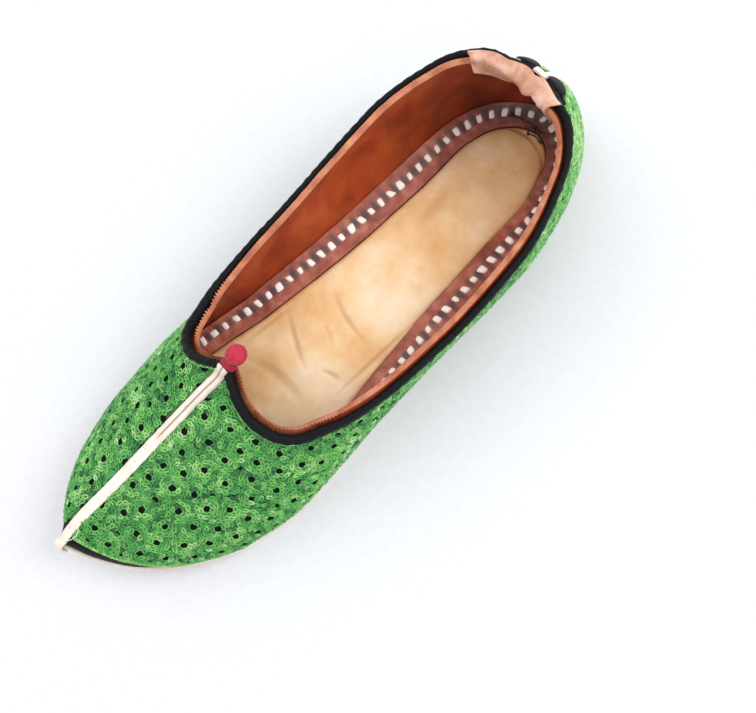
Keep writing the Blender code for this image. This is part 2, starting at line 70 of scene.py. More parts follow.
def linear(colour: str) -> tuple[float, float, float, float]:
    """Turn an sRGB hex colour into linear light.

    Args:
        colour: a colour such as "#50b45a".

    Returns:
        Red, green, blue and an alpha of 1.
    """
    shares = [int(colour[i : i + 2], 16) / 255.0 for i in (1, 3, 5)]
    light = [s / 12.92 if s <= 0.04045 else ((s + 0.055) / 1.055) ** 2.4 for s in shares]
    return light[0], light[1], light[2], 1.0


def add_node(
    tree: bpy.types.NodeTree,
    kind: str,
    sockets: Optional[dict[Any, Any]] = None,
    stops: Sequence[tuple[float, str]] = (),
    **settings: Any,
) -> bpy.types.Node:
    """Add one node with its settings and links.

    Args:
        tree: the material's nodes.
        kind: Blender's type name of the node.
        sockets: for each input, by name or number, its value or the output that feeds it.
        stops: places and hex colours of a colour ramp.
        settings: the node's own properties.

    Returns:
        The new node.
    """
    node = tree.nodes.new(kind)
    for name, value in settings.items():
        setattr(node, name, value)
    for key, value in (sockets or {}).items():
        if isinstance(value, bpy.types.NodeSocket):
            tree.links.new(value, node.inputs[key])
        else:
            node.inputs[key].default_value = value
    if stops:
        ramp = node.color_ramp
        while len(ramp.elements) < len(stops):
            ramp.elements.new(0.5)
        for element, (place, colour) in zip(ramp.elements, stops):
            element.position = place
            element.color = linear(colour)
    return node


def add_noise(
    tree: Any, place: Any, size: float, detail: float, rough: float = 0.5, swirl: float = 0.0
) -> bpy.types.Node:
    """Add a noise node whose cloud is about a size across."""
    sockets = {"Vector": place, "Scale": 1.0 / size, "Detail": detail, "Roughness": rough}
    return add_node(tree, "ShaderNodeTexNoise", {**sockets, "Distortion": swirl})


def start_material(name: str) -> tuple[bpy.types.Material, bpy.types.Node]:
    """Make a material with its shader.

    Args:
        name: what the real material is and how it was made.

    Returns:
        The material and its Principled shader.
    """
    material = bpy.data.materials.new(name)
    material.use_nodes = True
    return material, material.node_tree.nodes["Principled BSDF"]


@dataclass(frozen=True)
class Leather:
    """Leather, as dyed, creased and worn as the piece is, with painted shade where its mesh asks for it.

    Attributes:
        name: what it is and how it was made.
        dark, colour, light: its blotches, from the deepest to the palest.
        roughness: 0.4 is polished by feet, 0.7 is raw.
        blotch: size of the blotches.
        grain: size of the pores and pebbles.
        relief: height of the grain.
        stain_and_shade: colour where the mesh's attribute of that name is 1, if it has one. On most pieces
            that attribute is painted shade in creases, corners and depths; on some it marks real seams and
            specks.
        sheen: raw fibres that catch the light at a grazing angle.
        flecks: how much the fine grain darkens the dye.
        swirl: how far the blotches are drawn out, as by a brush.
    """

    name: str
    dark: str
    colour: str
    light: str
    roughness: float = 0.5
    blotch: float = 16 * MM
    grain: float = 0.9 * MM
    relief: float = 0.12 * MM
    stain_and_shade: Optional[str] = None
    sheen: float = 0.0
    flecks: float = 0.08
    swirl: float = 0.5

    def build(self) -> bpy.types.Material:
        """Make the material.

        Returns:
            The finished material.
        """
        material, shader = start_material(self.name)
        tree = material.node_tree
        place = add_node(tree, "ShaderNodeTexCoord").outputs["Object"]
        blotches = add_noise(tree, place, self.blotch, 4.0, 0.55, self.swirl)
        dye = add_node(
            tree,
            "ShaderNodeValToRGB",
            {"Fac": blotches.outputs["Fac"]},
            stops=((0.33, self.dark), (0.5, self.colour), (0.68, self.light)),
        )
        fine = add_noise(tree, place, 2.2 * self.grain, 3.0, 0.6)
        flecks = add_node(
            tree,
            "ShaderNodeMapRange",
            {
                "Value": fine.outputs["Fac"],
                "From Min": 0.3,
                "From Max": 0.7,
                "To Min": 1.0 - self.flecks,
                "To Max": 1.0 + self.flecks * 0.6,
            },
        )
        colour = add_node(
            tree,
            "ShaderNodeMix",
            {0: 1.0, 6: dye.outputs["Color"], 7: flecks.outputs["Result"]},
            data_type="RGBA",
            blend_type="MULTIPLY",
        ).outputs[2]
        # The mesh's attribute darkens the leather: painted shade on most pieces, real marks on some.
        if self.stain_and_shade:
            stain_and_shade_mask = add_node(tree, "ShaderNodeAttribute", attribute_name="stain_and_shade")
            colour = add_node(
                tree,
                "ShaderNodeMix",
                {0: stain_and_shade_mask.outputs["Fac"], 6: colour, 7: linear(self.stain_and_shade)},
                data_type="RGBA",
            ).outputs[2]
        pores = add_node(
            tree, "ShaderNodeTexVoronoi", {"Vector": place, "Scale": 1.0 / self.grain, "Randomness": 1.0}
        )
        height = add_node(
            tree,
            "ShaderNodeMath",
            {0: pores.outputs["Distance"], 1: fine.outputs["Fac"]},
            operation="ADD",
        )
        bump = add_node(
            tree,
            "ShaderNodeBump",
            {"Height": height.outputs["Value"], "Strength": 0.6, "Distance": self.relief},
        )
        polish = add_node(
            tree,
            "ShaderNodeMapRange",
            {
                "Value": blotches.outputs["Fac"],
                "From Min": 0.3,
                "From Max": 0.7,
                "To Min": self.roughness + 0.1,
                "To Max": self.roughness - 0.08,
            },
        )
        tree.links.new(colour, shader.inputs["Base Color"])
        tree.links.new(polish.outputs["Result"], shader.inputs["Roughness"])
        tree.links.new(bump.outputs["Normal"], shader.inputs["Normal"])
        shader.inputs["IOR"].default_value = 1.5
        shader.inputs["Sheen Weight"].default_value = self.sheen
        shader.inputs["Sheen Roughness"].default_value = 0.5
        return material


@dataclass(frozen=True)
class WovenCotton:
    """Plain-woven cotton, with its threads along the mesh's own map.

    Attributes:
        name: what it is and how it was made.
        colour, light: the threads in shade and where they stand proud.
        spacing: distance between threads, drawn twice as coarse as real so that it shows.
        roughness: how matt it is.
        sheen: fibres that catch the light at a grazing angle.
        gloss: strength of the reflection, low for matt fibres.
    """

    name: str
    colour: str
    light: str
    spacing: float = 0.7 * MM
    roughness: float = 0.75
    sheen: float = 0.25
    gloss: float = 0.2

    def build(self) -> bpy.types.Material:
        """Make the material.

        Returns:
            The finished material.
        """
        material, shader = start_material(self.name)
        tree = material.node_tree
        flat = add_node(tree, "ShaderNodeTexCoord")
        # A wave repeats after 0.314 of its scale's unit.
        threads = [
            add_node(
                tree,
                "ShaderNodeTexWave",
                {"Vector": flat.outputs["UV"], "Scale": 0.314 / self.spacing, "Distortion": 0.4},
                bands_direction=way,
            ).outputs["Fac"]
            for way in ("X", "Y")
        ]
        weave = add_node(tree, "ShaderNodeMath", {0: threads[0], 1: threads[1]}, operation="MULTIPLY")
        fuzz = add_noise(tree, flat.outputs["Object"], 5 * MM, 5.0)
        tone = add_node(
            tree, "ShaderNodeMath", {0: weave.outputs[0], 1: fuzz.outputs["Fac"]}, operation="MULTIPLY"
        )
        colour = add_node(
            tree,
            "ShaderNodeValToRGB",
            {"Fac": tone.outputs[0]},
            stops=((0.1, self.colour), (0.55, self.light)),
        )
        bump = add_node(
            tree, "ShaderNodeBump", {"Height": weave.outputs[0], "Strength": 0.7, "Distance": 0.12 * MM}
        )
        tree.links.new(colour.outputs["Color"], shader.inputs["Base Color"])
        tree.links.new(bump.outputs["Normal"], shader.inputs["Normal"])
        shader.inputs["Roughness"].default_value = self.roughness
        shader.inputs["Sheen Weight"].default_value = self.sheen
        shader.inputs["Sheen Roughness"].default_value = 0.4
        shader.inputs["IOR"].default_value = 1.46
        shader.inputs["Specular IOR Level"].default_value = self.gloss
        return material


@dataclass(frozen=True)
class SpunThread:
    """Twisted cotton thread. Each stitch may carry its own colour.

    Attributes:
        name: what it is and how it was made.
        shades: colours that the dye runs through; the mesh's "tone" picks among them.
        lustre: roughness, lower for mercerised thread that shines.
        uneven: how far the dye runs through the shades along a thread.
    """

    name: str
    shades: tuple[str, ...]
    lustre: float = 0.55
    uneven: float = 0.22

    def build(self) -> bpy.types.Material:
        """Make the material.

        Returns:
            The finished material.
        """
        material, shader = start_material(self.name)
        tree = material.node_tree
        place = add_node(tree, "ShaderNodeTexCoord").outputs["Object"]
        tone = add_node(tree, "ShaderNodeAttribute", attribute_name="tone")
        fibres = add_noise(tree, place, 0.8 * MM, 4.0, 0.7)
        run = add_node(
            tree,
            "ShaderNodeMath",
            {0: fibres.outputs["Fac"], 1: self.uneven, 2: tone.outputs["Fac"]},
            operation="MULTIPLY_ADD",
        )
        moved = add_node(
            tree, "ShaderNodeMath", {0: run.outputs[0], 1: self.uneven / 2.0}, operation="SUBTRACT"
        )
        last = max(len(self.shades) - 1, 1)
        colour = add_node(
            tree,
            "ShaderNodeValToRGB",
            {"Fac": moved.outputs[0]},
            stops=[(i / last, shade) for i, shade in enumerate(self.shades)],
        )
        bump = add_node(
            tree, "ShaderNodeBump", {"Height": fibres.outputs["Fac"], "Strength": 0.5, "Distance": 0.15 * MM}
        )
        tree.links.new(colour.outputs["Color"], shader.inputs["Base Color"])
        tree.links.new(bump.outputs["Normal"], shader.inputs["Normal"])
        shader.inputs["Roughness"].default_value = self.lustre
        shader.inputs["Sheen Weight"].default_value = 0.3
        shader.inputs["Sheen Roughness"].default_value = 0.35
        shader.inputs["IOR"].default_value = 1.53
        return material


# Cream sole leather, vegetable tanned, cut and left raw at the edge: pale, matt and a little fluffy.
SOLE_LEATHER = Leather(
    "cream sole leather, cut raw", "#dac9b0", "#e4d5bf", "#ece0cf",
    roughness=0.68, blotch=30 * MM, grain=0.7 * MM, relief=0.2 * MM, stain_and_shade="#8d7558", sheen=0.25,
    flecks=0.12, swirl=0.1,
)
# Russet goat lining, brushed with dye by hand: cloudy, redder where thick, and lightly polished.
LINING_LEATHER = Leather(
    "russet goat lining, hand dyed", "#8a2c0c", "#b04414", "#c65c26",
    roughness=0.42, blotch=24 * MM, grain=0.8 * MM, relief=0.07 * MM, stain_and_shade="#4a1a14",
)
# The lining's pared edge, turned up round the mouth: the undyed core shows peach.
LIP_LEATHER = Leather(
    "pared goat leather edge", "#a0573a", "#b96e4c", "#cb8864",
    blotch=7 * MM, grain=0.6 * MM, relief=0.1 * MM, stain_and_shade="#a5481d",
)
# Mauve-brown welt that takes the sewing, greyed between the stitches, with a painted shadow line where it
# meets the insole.
BAND_LEATHER = Leather(
    "waxed brown welt leather", "#853c28", "#a8563f", "#c0755a",
    roughness=0.45, blotch=8 * MM, grain=0.7 * MM, relief=0.1 * MM, stain_and_shade="#3c3536",
)
# Undyed calf insole: golden tan, cloudy and polished, with painted shade in its creases and along its edges.
INSOLE_LEATHER = Leather(
    "undyed calf insole", "#e6b070", "#f2cb94", "#fbe3c0",
    roughness=0.40, blotch=26 * MM, relief=0.03 * MM, stain_and_shade="#a8622c", flecks=0.03, swirl=0.0,
)
# Cream strips of split goat leather: nearly white with pink in it, folded and dull.
STRIP_LEATHER = Leather(
    "split goat strip, folded", "#e2c8b3", "#ecd9c9", "#f3e6da",
    roughness=0.6, blotch=9 * MM, grain=0.5 * MM, relief=0.06 * MM, stain_and_shade="#6b4a3c", sheen=0.15,
    flecks=0.03,
)
# Thin pink-tan sheep leather, folded wet over the heel: soft wrinkles and a dull shine.
FLAP_LEATHER = Leather(
    "pink-tan sheep leather, folded wet", "#b97d5f", "#d3a086", "#e9c4b2",
    blotch=8 * MM, grain=0.7 * MM, relief=0.14 * MM, stain_and_shade="#96583c",
)
# Black cotton under the embroidery: dull, and seen only in the gaps.
GROUND_CLOTH = WovenCotton("plain black cotton ground", "#040506", "#0c0f12", sheen=0.05)
# Black cotton rolled round a cord: smoother, so that the light picks out its puckers in blue-grey.
ROLLED_CLOTH = WovenCotton(
    "rolled black cotton binding", "#040508", "#0d1017", spacing=0.5 * MM, roughness=0.55, sheen=0.02
)
# Mercerised cotton in greens that the dyer let run: it shimmers between leaf, sea and lime. Its dark shades
# also paint shade on the mats under the loops, and its pale ones paint light near the heel.
GREEN_THREAD = SpunThread(
    "mercerised green cotton, chain stitched",
    ("#0f4217", "#21722f", "#429b42", "#6ab653", "#94cb74", "#c0e2a6"),
    lustre=0.5,
    uneven=0.42,
)
# Thick white cotton of the welt's sewing.
WHITE_THREAD = SpunThread("waxed white cotton, hand sewn", ("#d8cabb", "#fbf5ea", "#fffdf8"), lustre=0.6)
# Red cotton wound into a bead.
RED_THREAD = SpunThread("crimson cotton, wound", ("#820a20", "#b40f32", "#cc2448"))
# Dark waxed thread ends.
DARK_THREAD = SpunThread("dark waxed thread", ("#17100f", "#2a1d1b", "#3a2a26"), lustre=0.6)


# ---------------------------------------------------------------- shape of the last


class Curve:
    """A smooth curve through points that never swings past them."""

    def __init__(self, places: Sequence[float], values: Sequence[float]) -> None:
        """Work out the slopes.

        Args:
            places: rising places.
            values: the value at each.
        """
        self.places = np.asarray(places, float)
        self.values = np.asarray(values, float)
        steep = np.diff(self.values) / np.diff(self.places)
        before, after = steep[:-1], steep[1:]
        both = before * after
        total = np.where(both > 0.0, before + after, 1.0)
        inner = np.where(both > 0.0, 2.0 * both / total, 0.0)
        self.slopes = np.concatenate([steep[:1], inner, steep[-1:]])

    def __call__(self, place: Grid) -> Grid:
        """Give the values at some places.

        Args:
            place: where to read the curve.

        Returns:
            The values there.
        """
        x = np.clip(np.asarray(place, float), self.places[0], self.places[-1])
        i = np.clip(np.searchsorted(self.places, x, side="right") - 1, 0, len(self.places) - 2)
        step = self.places[i + 1] - self.places[i]
        t = (x - self.places[i]) / step
        t2, t3 = t * t, t * t * t
        return (
            self.values[i] * (2 * t3 - 3 * t2 + 1)
            + self.slopes[i] * step * (t3 - 2 * t2 + t)
            + self.values[i + 1] * (3 * t2 - 2 * t3)
            + self.slopes[i + 1] * step * (t3 - t2)
        )


def walked(points: Grid) -> Grid:
    """Distance walked along rows of points.

    Args:
        points: rows of points, the last axis holding x, y and z.

    Returns:
        The distance of each point from its row's first.
    """
    steps = np.linalg.norm(np.diff(points, axis=-2), axis=-1)
    start = np.zeros(steps.shape[:-1] + (1,))
    return np.concatenate([start, np.cumsum(steps, axis=-1)], axis=-1)


def unit(vectors: Grid) -> Grid:
    """Scale vectors, held in the last axis, to length 1."""
    return vectors / np.maximum(np.linalg.norm(vectors, axis=-1, keepdims=True), 1e-12)


@dataclass
class Last:
    """The form that the shoe is made on, with the sizes and tables of its solids.

    A place on it is a side, a share of the length from the heel, and a lift from 0 at the sole's edge
    to 1 on the ridge line over the foot. Widths in the tables are shares of the ball's width, heights
    are shares of the instep's height.
    """

    length: float = 0.252
    ball: float = 0.085
    instep: float = 0.048
    back: float = 0.058
    sole: float = 0.0045
    arch: float = 0.0015
    spring: float = 0.0135
    cloth: float = 0.0013
    lining: float = 0.0013
    gap: float = 0.0003
    heel_centre: float = 0.14
    fan_start: float = 0.56
    # along, outer, inner, ridge_x, ridge, tuck, belly, fullness
    sections: tuple[tuple[float, ...], ...] = (
        (0.00, 0.000, 0.000, 0.000, 1.26, 0.036, 0.36, 2.36),
        (0.03, 0.200, 0.214, 0.000, 1.31, 0.040, 0.38, 2.34),
        (0.08, 0.312, 0.338, 0.000, 1.545, 0.055, 0.42, 2.28),
        (0.15, 0.402, 0.412, 0.002, 2.07, 0.085, 0.50, 2.22),
        (0.25, 0.475, 0.450, 0.006, 2.70, 0.135, 0.58, 2.20),
        (0.35, 0.494, 0.440, 0.010, 2.70, 0.126, 0.60, 2.20),
        (0.45, 0.498, 0.424, 0.010, 2.25, 0.094, 0.54, 2.16),
        (0.55, 0.506, 0.420, 0.004, 1.55, 0.060, 0.44, 2.08),
        (0.62, 0.520, 0.440, -0.012, 1.10, 0.044, 0.34, 1.98),
        (0.70, 0.533, 0.456, -0.036, 0.92, 0.032, 0.26, 1.90),
        (0.80, 0.488, 0.432, -0.052, 0.745, 0.018, 0.20, 1.86),
        (0.88, 0.382, 0.362, -0.056, 0.645, 0.010, 0.16, 1.84),
        (0.94, 0.246, 0.252, -0.062, 0.585, 0.006, 0.12, 1.82),
        (0.98, 0.077, 0.122, -0.064, 0.520, 0.002, 0.08, 1.80),
        (1.00, -0.064, 0.064, -0.064, 0.455, 0.000, 0.06, 1.80),
    )
    # Mouth's edge behind the throat: along, height as a share of the back's height
    rim_heights: tuple[tuple[float, float], ...] = (
        (0.00, 1.00), (0.05, 0.992), (0.12, 0.95), (0.20, 0.873),
        (0.30, 0.79), (0.40, 0.72), (0.50, 0.70), (0.56, 0.705),
    )
    # Mouth's edge round a lobe of the throat: along, distance from the ridge line
    rim_reaches: tuple[tuple[float, float], ...] = (
        (0.603, 0.385), (0.631, 0.352), (0.648, 0.292), (0.653, 0.214),
        (0.648, 0.138), (0.636, 0.062), (0.626, 0.0),
    )
    # Sole's underside: along, share of the arch's rise, share of the toe's spring
    treads: tuple[tuple[float, float, float], ...] = (
        (0.00, 0.25, 0.0), (0.035, 0.0, 0.0), (0.20, 0.0, 0.0), (0.33, 0.75, 0.0),
        (0.42, 1.0, 0.0), (0.51, 0.75, 0.0), (0.61, 0.0, 0.0), (0.75, 0.0, 0.0),
        (0.82, 0.0, 0.10), (0.90, 0.0, 0.40), (0.96, 0.0, 0.74), (1.00, 0.0, 1.0),
    )
    shift: Grid = field(default_factory=lambda: np.zeros(3))

    def __post_init__(self) -> None:
        """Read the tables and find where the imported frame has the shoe."""
        table = np.array(self.sections)
        roots = np.sqrt(table[:, 0])
        names = ("outer", "inner", "ridge_x", "ridge", "tuck", "belly", "fullness")
        self.curves = {name: Curve(roots, table[:, i + 1]) for i, name in enumerate(names)}
        tread = np.array(self.treads)
        self.rise = Curve(tread[:, 0], tread[:, 1])
        self.lift_off = Curve(tread[:, 0], tread[:, 2])
        along = np.linspace(0.0, 1.0, 400) ** 1.5
        lift = np.linspace(0.0, 0.7, 60)[:, None]
        skin = np.concatenate([self.on(side.value, along, lift).reshape(-1, 3) for side in Side])
        low, high = (np.array(corner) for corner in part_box("upper"))
        offset = ((low - skin.min(0)) + (high - skin.max(0))) / 2.0
        self.shift = np.array([offset[0], high[1] - skin[:, 1].max(), 0.0])

    def value(self, name: str, along: Grid) -> Grid:
        """Read one column of the sections at shares of the length."""
        return self.curves[name](np.sqrt(np.clip(along, 0.0, 1.0)))

    def place_of(self, along: Grid) -> Grid:
        """Y of shares of the length, before the shift."""
        return self.length * (0.5 - np.asarray(along, float))

    def tread(self, y: Grid) -> Grid:
        """Height of the sole's underside at Y, before the shift."""
        along = 0.5 - np.asarray(y) / self.length
        return self.arch * self.rise(along) + self.spring * self.lift_off(along)

    def floor(self, y: Grid) -> Grid:
        """Height at Y, before the shift, at which the upper stands on the sole."""
        return self.tread(y) + self.sole + self.gap

    def on(self, side: Grid, along: Grid, lift: Grid, inset: Grid = 0.0) -> Grid:
        """Points on the last.

        Args:
            side: 1 for the outer side of the foot, -1 for the inner.
            along: shares of the length from the heel.
            lift: 0 at the sole's edge to 1 on the ridge line.
            inset: depth below the surface, or height above it where negative.

        Returns:
            The points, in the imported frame.
        """
        given = (np.asarray(part, float) for part in (side, along, lift, inset))
        side, along, lift, inset = np.broadcast_arrays(*given)
        hub_along = np.maximum(along, self.heel_centre)
        hub_x, hub_y = self.value("ridge_x", hub_along) * self.ball, self.place_of(hub_along)
        widest = np.where(side > 0, self.value("outer", along), -self.value("inner", along)) * self.ball
        arm_x, arm_y = widest - hub_x, self.place_of(along) - hub_y
        reach = np.hypot(arm_x, arm_y)
        far = reach > 1e-7
        way_x = np.where(far, arm_x / np.maximum(reach, 1e-9), 0.0)
        way_y = np.where(far, arm_y / np.maximum(reach, 1e-9), -1.0)
        safe = np.where(inset == 0.0, 1.0, inset)
        reach = reach - np.where(inset == 0.0, 0.0, inset * (1.0 - np.exp(-((reach / safe) ** 2))))
        power = 2.0 / self.value("fullness", along)
        angle = lift * math.pi / 2.0
        across = np.maximum(np.cos(angle), 0.0) ** power
        up = np.maximum(np.sin(angle), 0.0) ** power
        ridge = self.value("ridge", along) * self.instep - inset
        floor = self.floor(hub_y + way_y * reach * across)
        height = np.maximum(ridge - floor, self.gap) * up
        belly = self.value("belly", along) * self.instep
        tuck = self.value("tuck", along) * self.ball * np.maximum(0.0, 1.0 - height / belly) ** 2
        out = np.maximum(reach * across - tuck, 0.0)
        y = hub_y + way_y * out
        z = self.floor(y) + height
        return np.stack([hub_x + way_x * out, y, z], -1) + self.shift

    def lift_at_height(self, along: Grid, height: Grid, inset: float = 0.0) -> Grid:
        """Lift at which the last reaches a height.

        Args:
            along: shares of the length.
            height: heights over the ground.
            inset: depth below the surface.

        Returns:
            The lifts.
        """
        floor = self.floor(self.place_of(along))
        ridge = self.value("ridge", along) * self.instep - inset
        share = np.clip((height - floor) / (ridge - floor), 0.0, 1.0)
        return np.arcsin(share ** (self.value("fullness", along) / 2.0)) / (math.pi / 2.0)

    def lift_at_reach(self, along: Grid, distance: Grid) -> Grid:
        """Lift at which the last is a distance away from its ridge line.

        Args:
            along: shares of the length.
            distance: distances in plan.

        Returns:
            The lifts.
        """
        hub = np.maximum(along, self.heel_centre)
        arm = self.value("outer", along) * self.ball - self.value("ridge_x", hub) * self.ball
        widest = np.hypot(arm, self.place_of(along) - self.place_of(hub))
        share = np.minimum(distance / widest, 1.0)
        return np.arccos(share ** (self.value("fullness", along) / 2.0)) / (math.pi / 2.0)

    def rim(self, steps: int = 600) -> tuple[Grid, Grid]:
        """The mouth's edge on one side, from the heel to the throat's peak.

        Args:
            steps: how many steps to take.

        Returns:
            Shares of the length, and lifts.
        """
        heights, reaches = np.array(self.rim_heights), np.array(self.rim_reaches)
        low = self.lift_at_height(heights[:, 0], heights[:, 1] * self.back)
        high = self.lift_at_reach(reaches[:, 0], reaches[:, 1] * self.ball)
        along, lift = np.concatenate([heights[:, 0], reaches[:, 0]]), np.concatenate([low, high])
        knots = np.concatenate([[0.0], np.cumsum(np.hypot(np.diff(along), 0.12 * np.diff(lift)))])
        spots = np.linspace(0.0, knots[-1], steps + 1)
        alongs = Curve(knots, along)(spots)
        sides = len(heights)
        by_height = self.lift_at_height(alongs, Curve(knots[:sides], heights[:, 1] * self.back)(spots))
        return alongs, np.where(spots <= knots[sides - 1], by_height, Curve(knots, lift)(spots))

    def feet(self, count: int) -> Grid:
        """Shares of the length at even steps round one side of the wall's foot.

        Args:
            count: how many steps.

        Returns:
            count + 1 shares.
        """
        fine = np.linspace(0.0, 1.0, 1201) ** 2
        run = walked(self.on(1.0, fine, 0.0))
        return np.interp(run[-1] * np.arange(count + 1) / count, run, fine)

    def foot_loop(self, count: int) -> tuple[Grid, Grid]:
        """Even steps once round the wall's foot: heel, outer side, toe, inner side.

        Args:
            count: steps on each side.

        Returns:
            The side and the share of the length of each step.
        """
        feet = self.feet(count)
        side = np.concatenate([np.ones(count + 1), -np.ones(count - 1)])
        return side, np.concatenate([feet, feet[-2:0:-1]])

    def short_of_tip(self, along: Grid, inset: Grid) -> Grid:
        """Pull shares of the length back near the toe, as the inside ends short of the tip."""
        near = np.maximum(0.0, (along - 0.8) / 0.2)
        return along - 2.0 * np.maximum(inset, 0.0) / self.length * near**2

    def inside(self, side: Grid, along: Grid, depth: float, height: Grid = 0.0) -> Grid:
        """Points inside the wall.

        Args:
            side: 1 or -1.
            along: shares of the length.
            depth: distance in from the lining's face.
            height: height over the sole.

        Returns:
            The points.
        """
        inset = self.cloth + self.lining + depth
        along = self.short_of_tip(np.asarray(along, float), inset)
        height = np.broadcast_to(np.asarray(height, float), along.shape)
        floor = self.floor(self.place_of(along))
        lift = np.where(height > 0.0, self.lift_at_height(along, floor + height, inset), 0.0)
        point = self.on(side, along, lift, inset)
        point[..., 2] = self.floor(point[..., 1] - self.shift[1]) + height
        return point

    def headroom(self, along: Grid, depth: float) -> Grid:
        """Height of the hollow under the ridge line."""
        inset = self.cloth + self.lining + depth
        along = self.short_of_tip(along, inset)
        return self.value("ridge", along) * self.instep - inset - self.tread(self.place_of(along)) - self.sole


class Wall:
    """Columns round the upper's wall, each running from the mouth's edge down to the sole."""

    lip = 1.3 * MM
    binding_width = 3.4 * MM
    binding_depth = 3.6 * MM

    def __init__(self, last: Last, count: int, final: Optional[int] = None) -> None:
        """Set out the columns.

        Args:
            last: the form.
            count: columns on each side.
            final: keeps only the columns near the heel, up to this one on each side, from the inner side to
                the outer side.
        """
        self.last, self.count = last, count
        rim_along, rim_lift = last.rim()
        run = walked(last.on(1.0, rim_along, rim_lift))
        feet = last.feet(count)
        turn = int(np.argmax(rim_along))
        self.first_fan = int(np.flatnonzero(feet < last.fan_start)[-1])
        start = np.interp(feet[self.first_fan], rim_along[: turn + 1], run[: turn + 1])
        k = np.arange(count + 1)
        share = np.clip((k - self.first_fan) / (count - self.first_fan), 0.0, 1.0)
        spot = start + (run[-1] - start) * share
        fan = k > self.first_fan
        self.begin_along = np.where(fan, np.interp(spot, run, rim_along), feet)
        straight_lift = np.interp(feet, rim_along[: turn + 1], rim_lift[: turn + 1])
        self.begin_lift = np.where(fan, np.interp(spot, run, rim_lift), straight_lift)
        self.foot, self.fan = feet, share
        if final is None:
            self.index = np.concatenate([k, k[-2:0:-1]])
            self.side = np.concatenate([np.ones(count + 1), -np.ones(count - 1)])
        else:
            self.index = np.concatenate([np.arange(final, 0, -1), np.arange(final + 1)])
            self.side = np.concatenate([-np.ones(final), np.ones(final + 1)])

    def points(self, u: Grid, inset: Grid = 0.0) -> Grid:
        """Points down the columns.

        Args:
            u: shares of the way down, one row for all columns or a row for each.
            inset: depth below the surface.

        Returns:
            One row of points for each column.
        """
        u = np.clip(np.asarray(u, float), 0.0, 1.0)
        k = self.index[:, None]
        fan = self.fan[k]
        forward = 1.0 - (1.0 - u) ** (1.0 + 1.2 * fan**4)
        down = 1.0 - u ** (1.0 + 5.0 * fan**3)
        down = np.where(k == self.count, np.where(u < 1.0, 1.0, 0.0), down)
        along = self.begin_along[k] + (self.foot[k] - self.begin_along[k]) * forward
        along = self.last.short_of_tip(along, inset)
        return self.last.on(self.side[:, None], along, self.begin_lift[k] * down, inset)

    def share_at(self, depth: Grid, inset: float, from_foot: bool = False) -> Grid:
        """How far down each column a distance is.

        Args:
            depth: distance from the rim, one for all or one for each column.
            inset: depth below the surface.
            from_foot: measure from the sole's edge instead.

        Returns:
            A share for each column.
        """
        spots = np.linspace(0.0, 1.0, 161)
        if from_foot:
            spots = spots[::-1]
        run = walked(self.points(spots, inset))
        depth = np.broadcast_to(depth, self.index.shape)
        return np.array([np.interp(d, row, spots) for d, row in zip(depth, run)])

    def rim_frame(self) -> tuple[Grid, Grid, Grid]:
        """Top of the lip's outer face on each column, with the directions up and out of the wall."""
        step = self.share_at(self.lip + self.binding_depth + self.last.gap, self.last.cloth)[:, None]
        top = self.points([0.0], self.last.cloth)[:, 0]
        ledge = self.points(step, self.last.cloth)[:, 0]
        up = unit(top - ledge)
        out = self.points(step, 0.0)[:, 0] - ledge
        return top, up, unit(out - up * (out * up).sum(-1, keepdims=True))


# ---------------------------------------------------------------- mesh tools


def soft_noise(points: Grid, size: float, seed: int, stretch: Sequence[float] = (1.0, 1.0, 1.0)) -> Grid:
    """Smooth random heights at points, from -1 to 1.

    Args:
        points: where to read it.
        size: distance from hill to hill.
        seed: picks the pattern.
        stretch: makes the hills longer along an axis.

    Returns:
        A height for each point.
    """
    dice = np.random.default_rng(seed)
    ways = unit(dice.normal(size=(9, 3))) / np.array(stretch)
    phases, pace = dice.uniform(0, 2 * math.pi, 9), dice.uniform(0.7, 1.5, 9)
    waves = points @ (ways * (2 * math.pi / size) * pace[:, None]).T + phases
    return np.sin(waves).mean(-1) * 1.8


def circle(count: int) -> Grid:
    """Even angles once round."""
    return np.linspace(0.0, 2.0 * math.pi, count, endpoint=False)


def points_at(spots: Grid, run: Grid, points: Grid) -> Grid:
    """Points of a line at given distances along it, where run is the distance of each of its points."""
    return np.stack([np.interp(spots, run, points[:, i]) for i in range(3)], -1)


def repeat_faces(faces: Grid, count: int, size: int) -> Grid:
    """Faces of count copies of a mesh of size points, one after another."""
    return (faces[None] + (np.arange(count) * size)[:, None, None]).reshape(-1, faces.shape[1])


def grid_faces(rows: int, size: int, wrap_rows: bool, wrap_size: bool) -> Grid:
    """Quads of a grid of points.

    Args:
        rows: number of rows.
        size: points in a row.
        wrap_rows: the last row joins the first.
        wrap_size: each row is a closed ring.

    Returns:
        Four point numbers for each quad.
    """
    i = np.arange(rows if wrap_rows else rows - 1)[:, None]
    j = np.arange(size if wrap_size else size - 1)[None, :]
    n, m = (i + 1) % rows, (j + 1) % size
    return np.stack([i * size + j, i * size + m, n * size + m, n * size + j], -1).reshape(-1, 4)


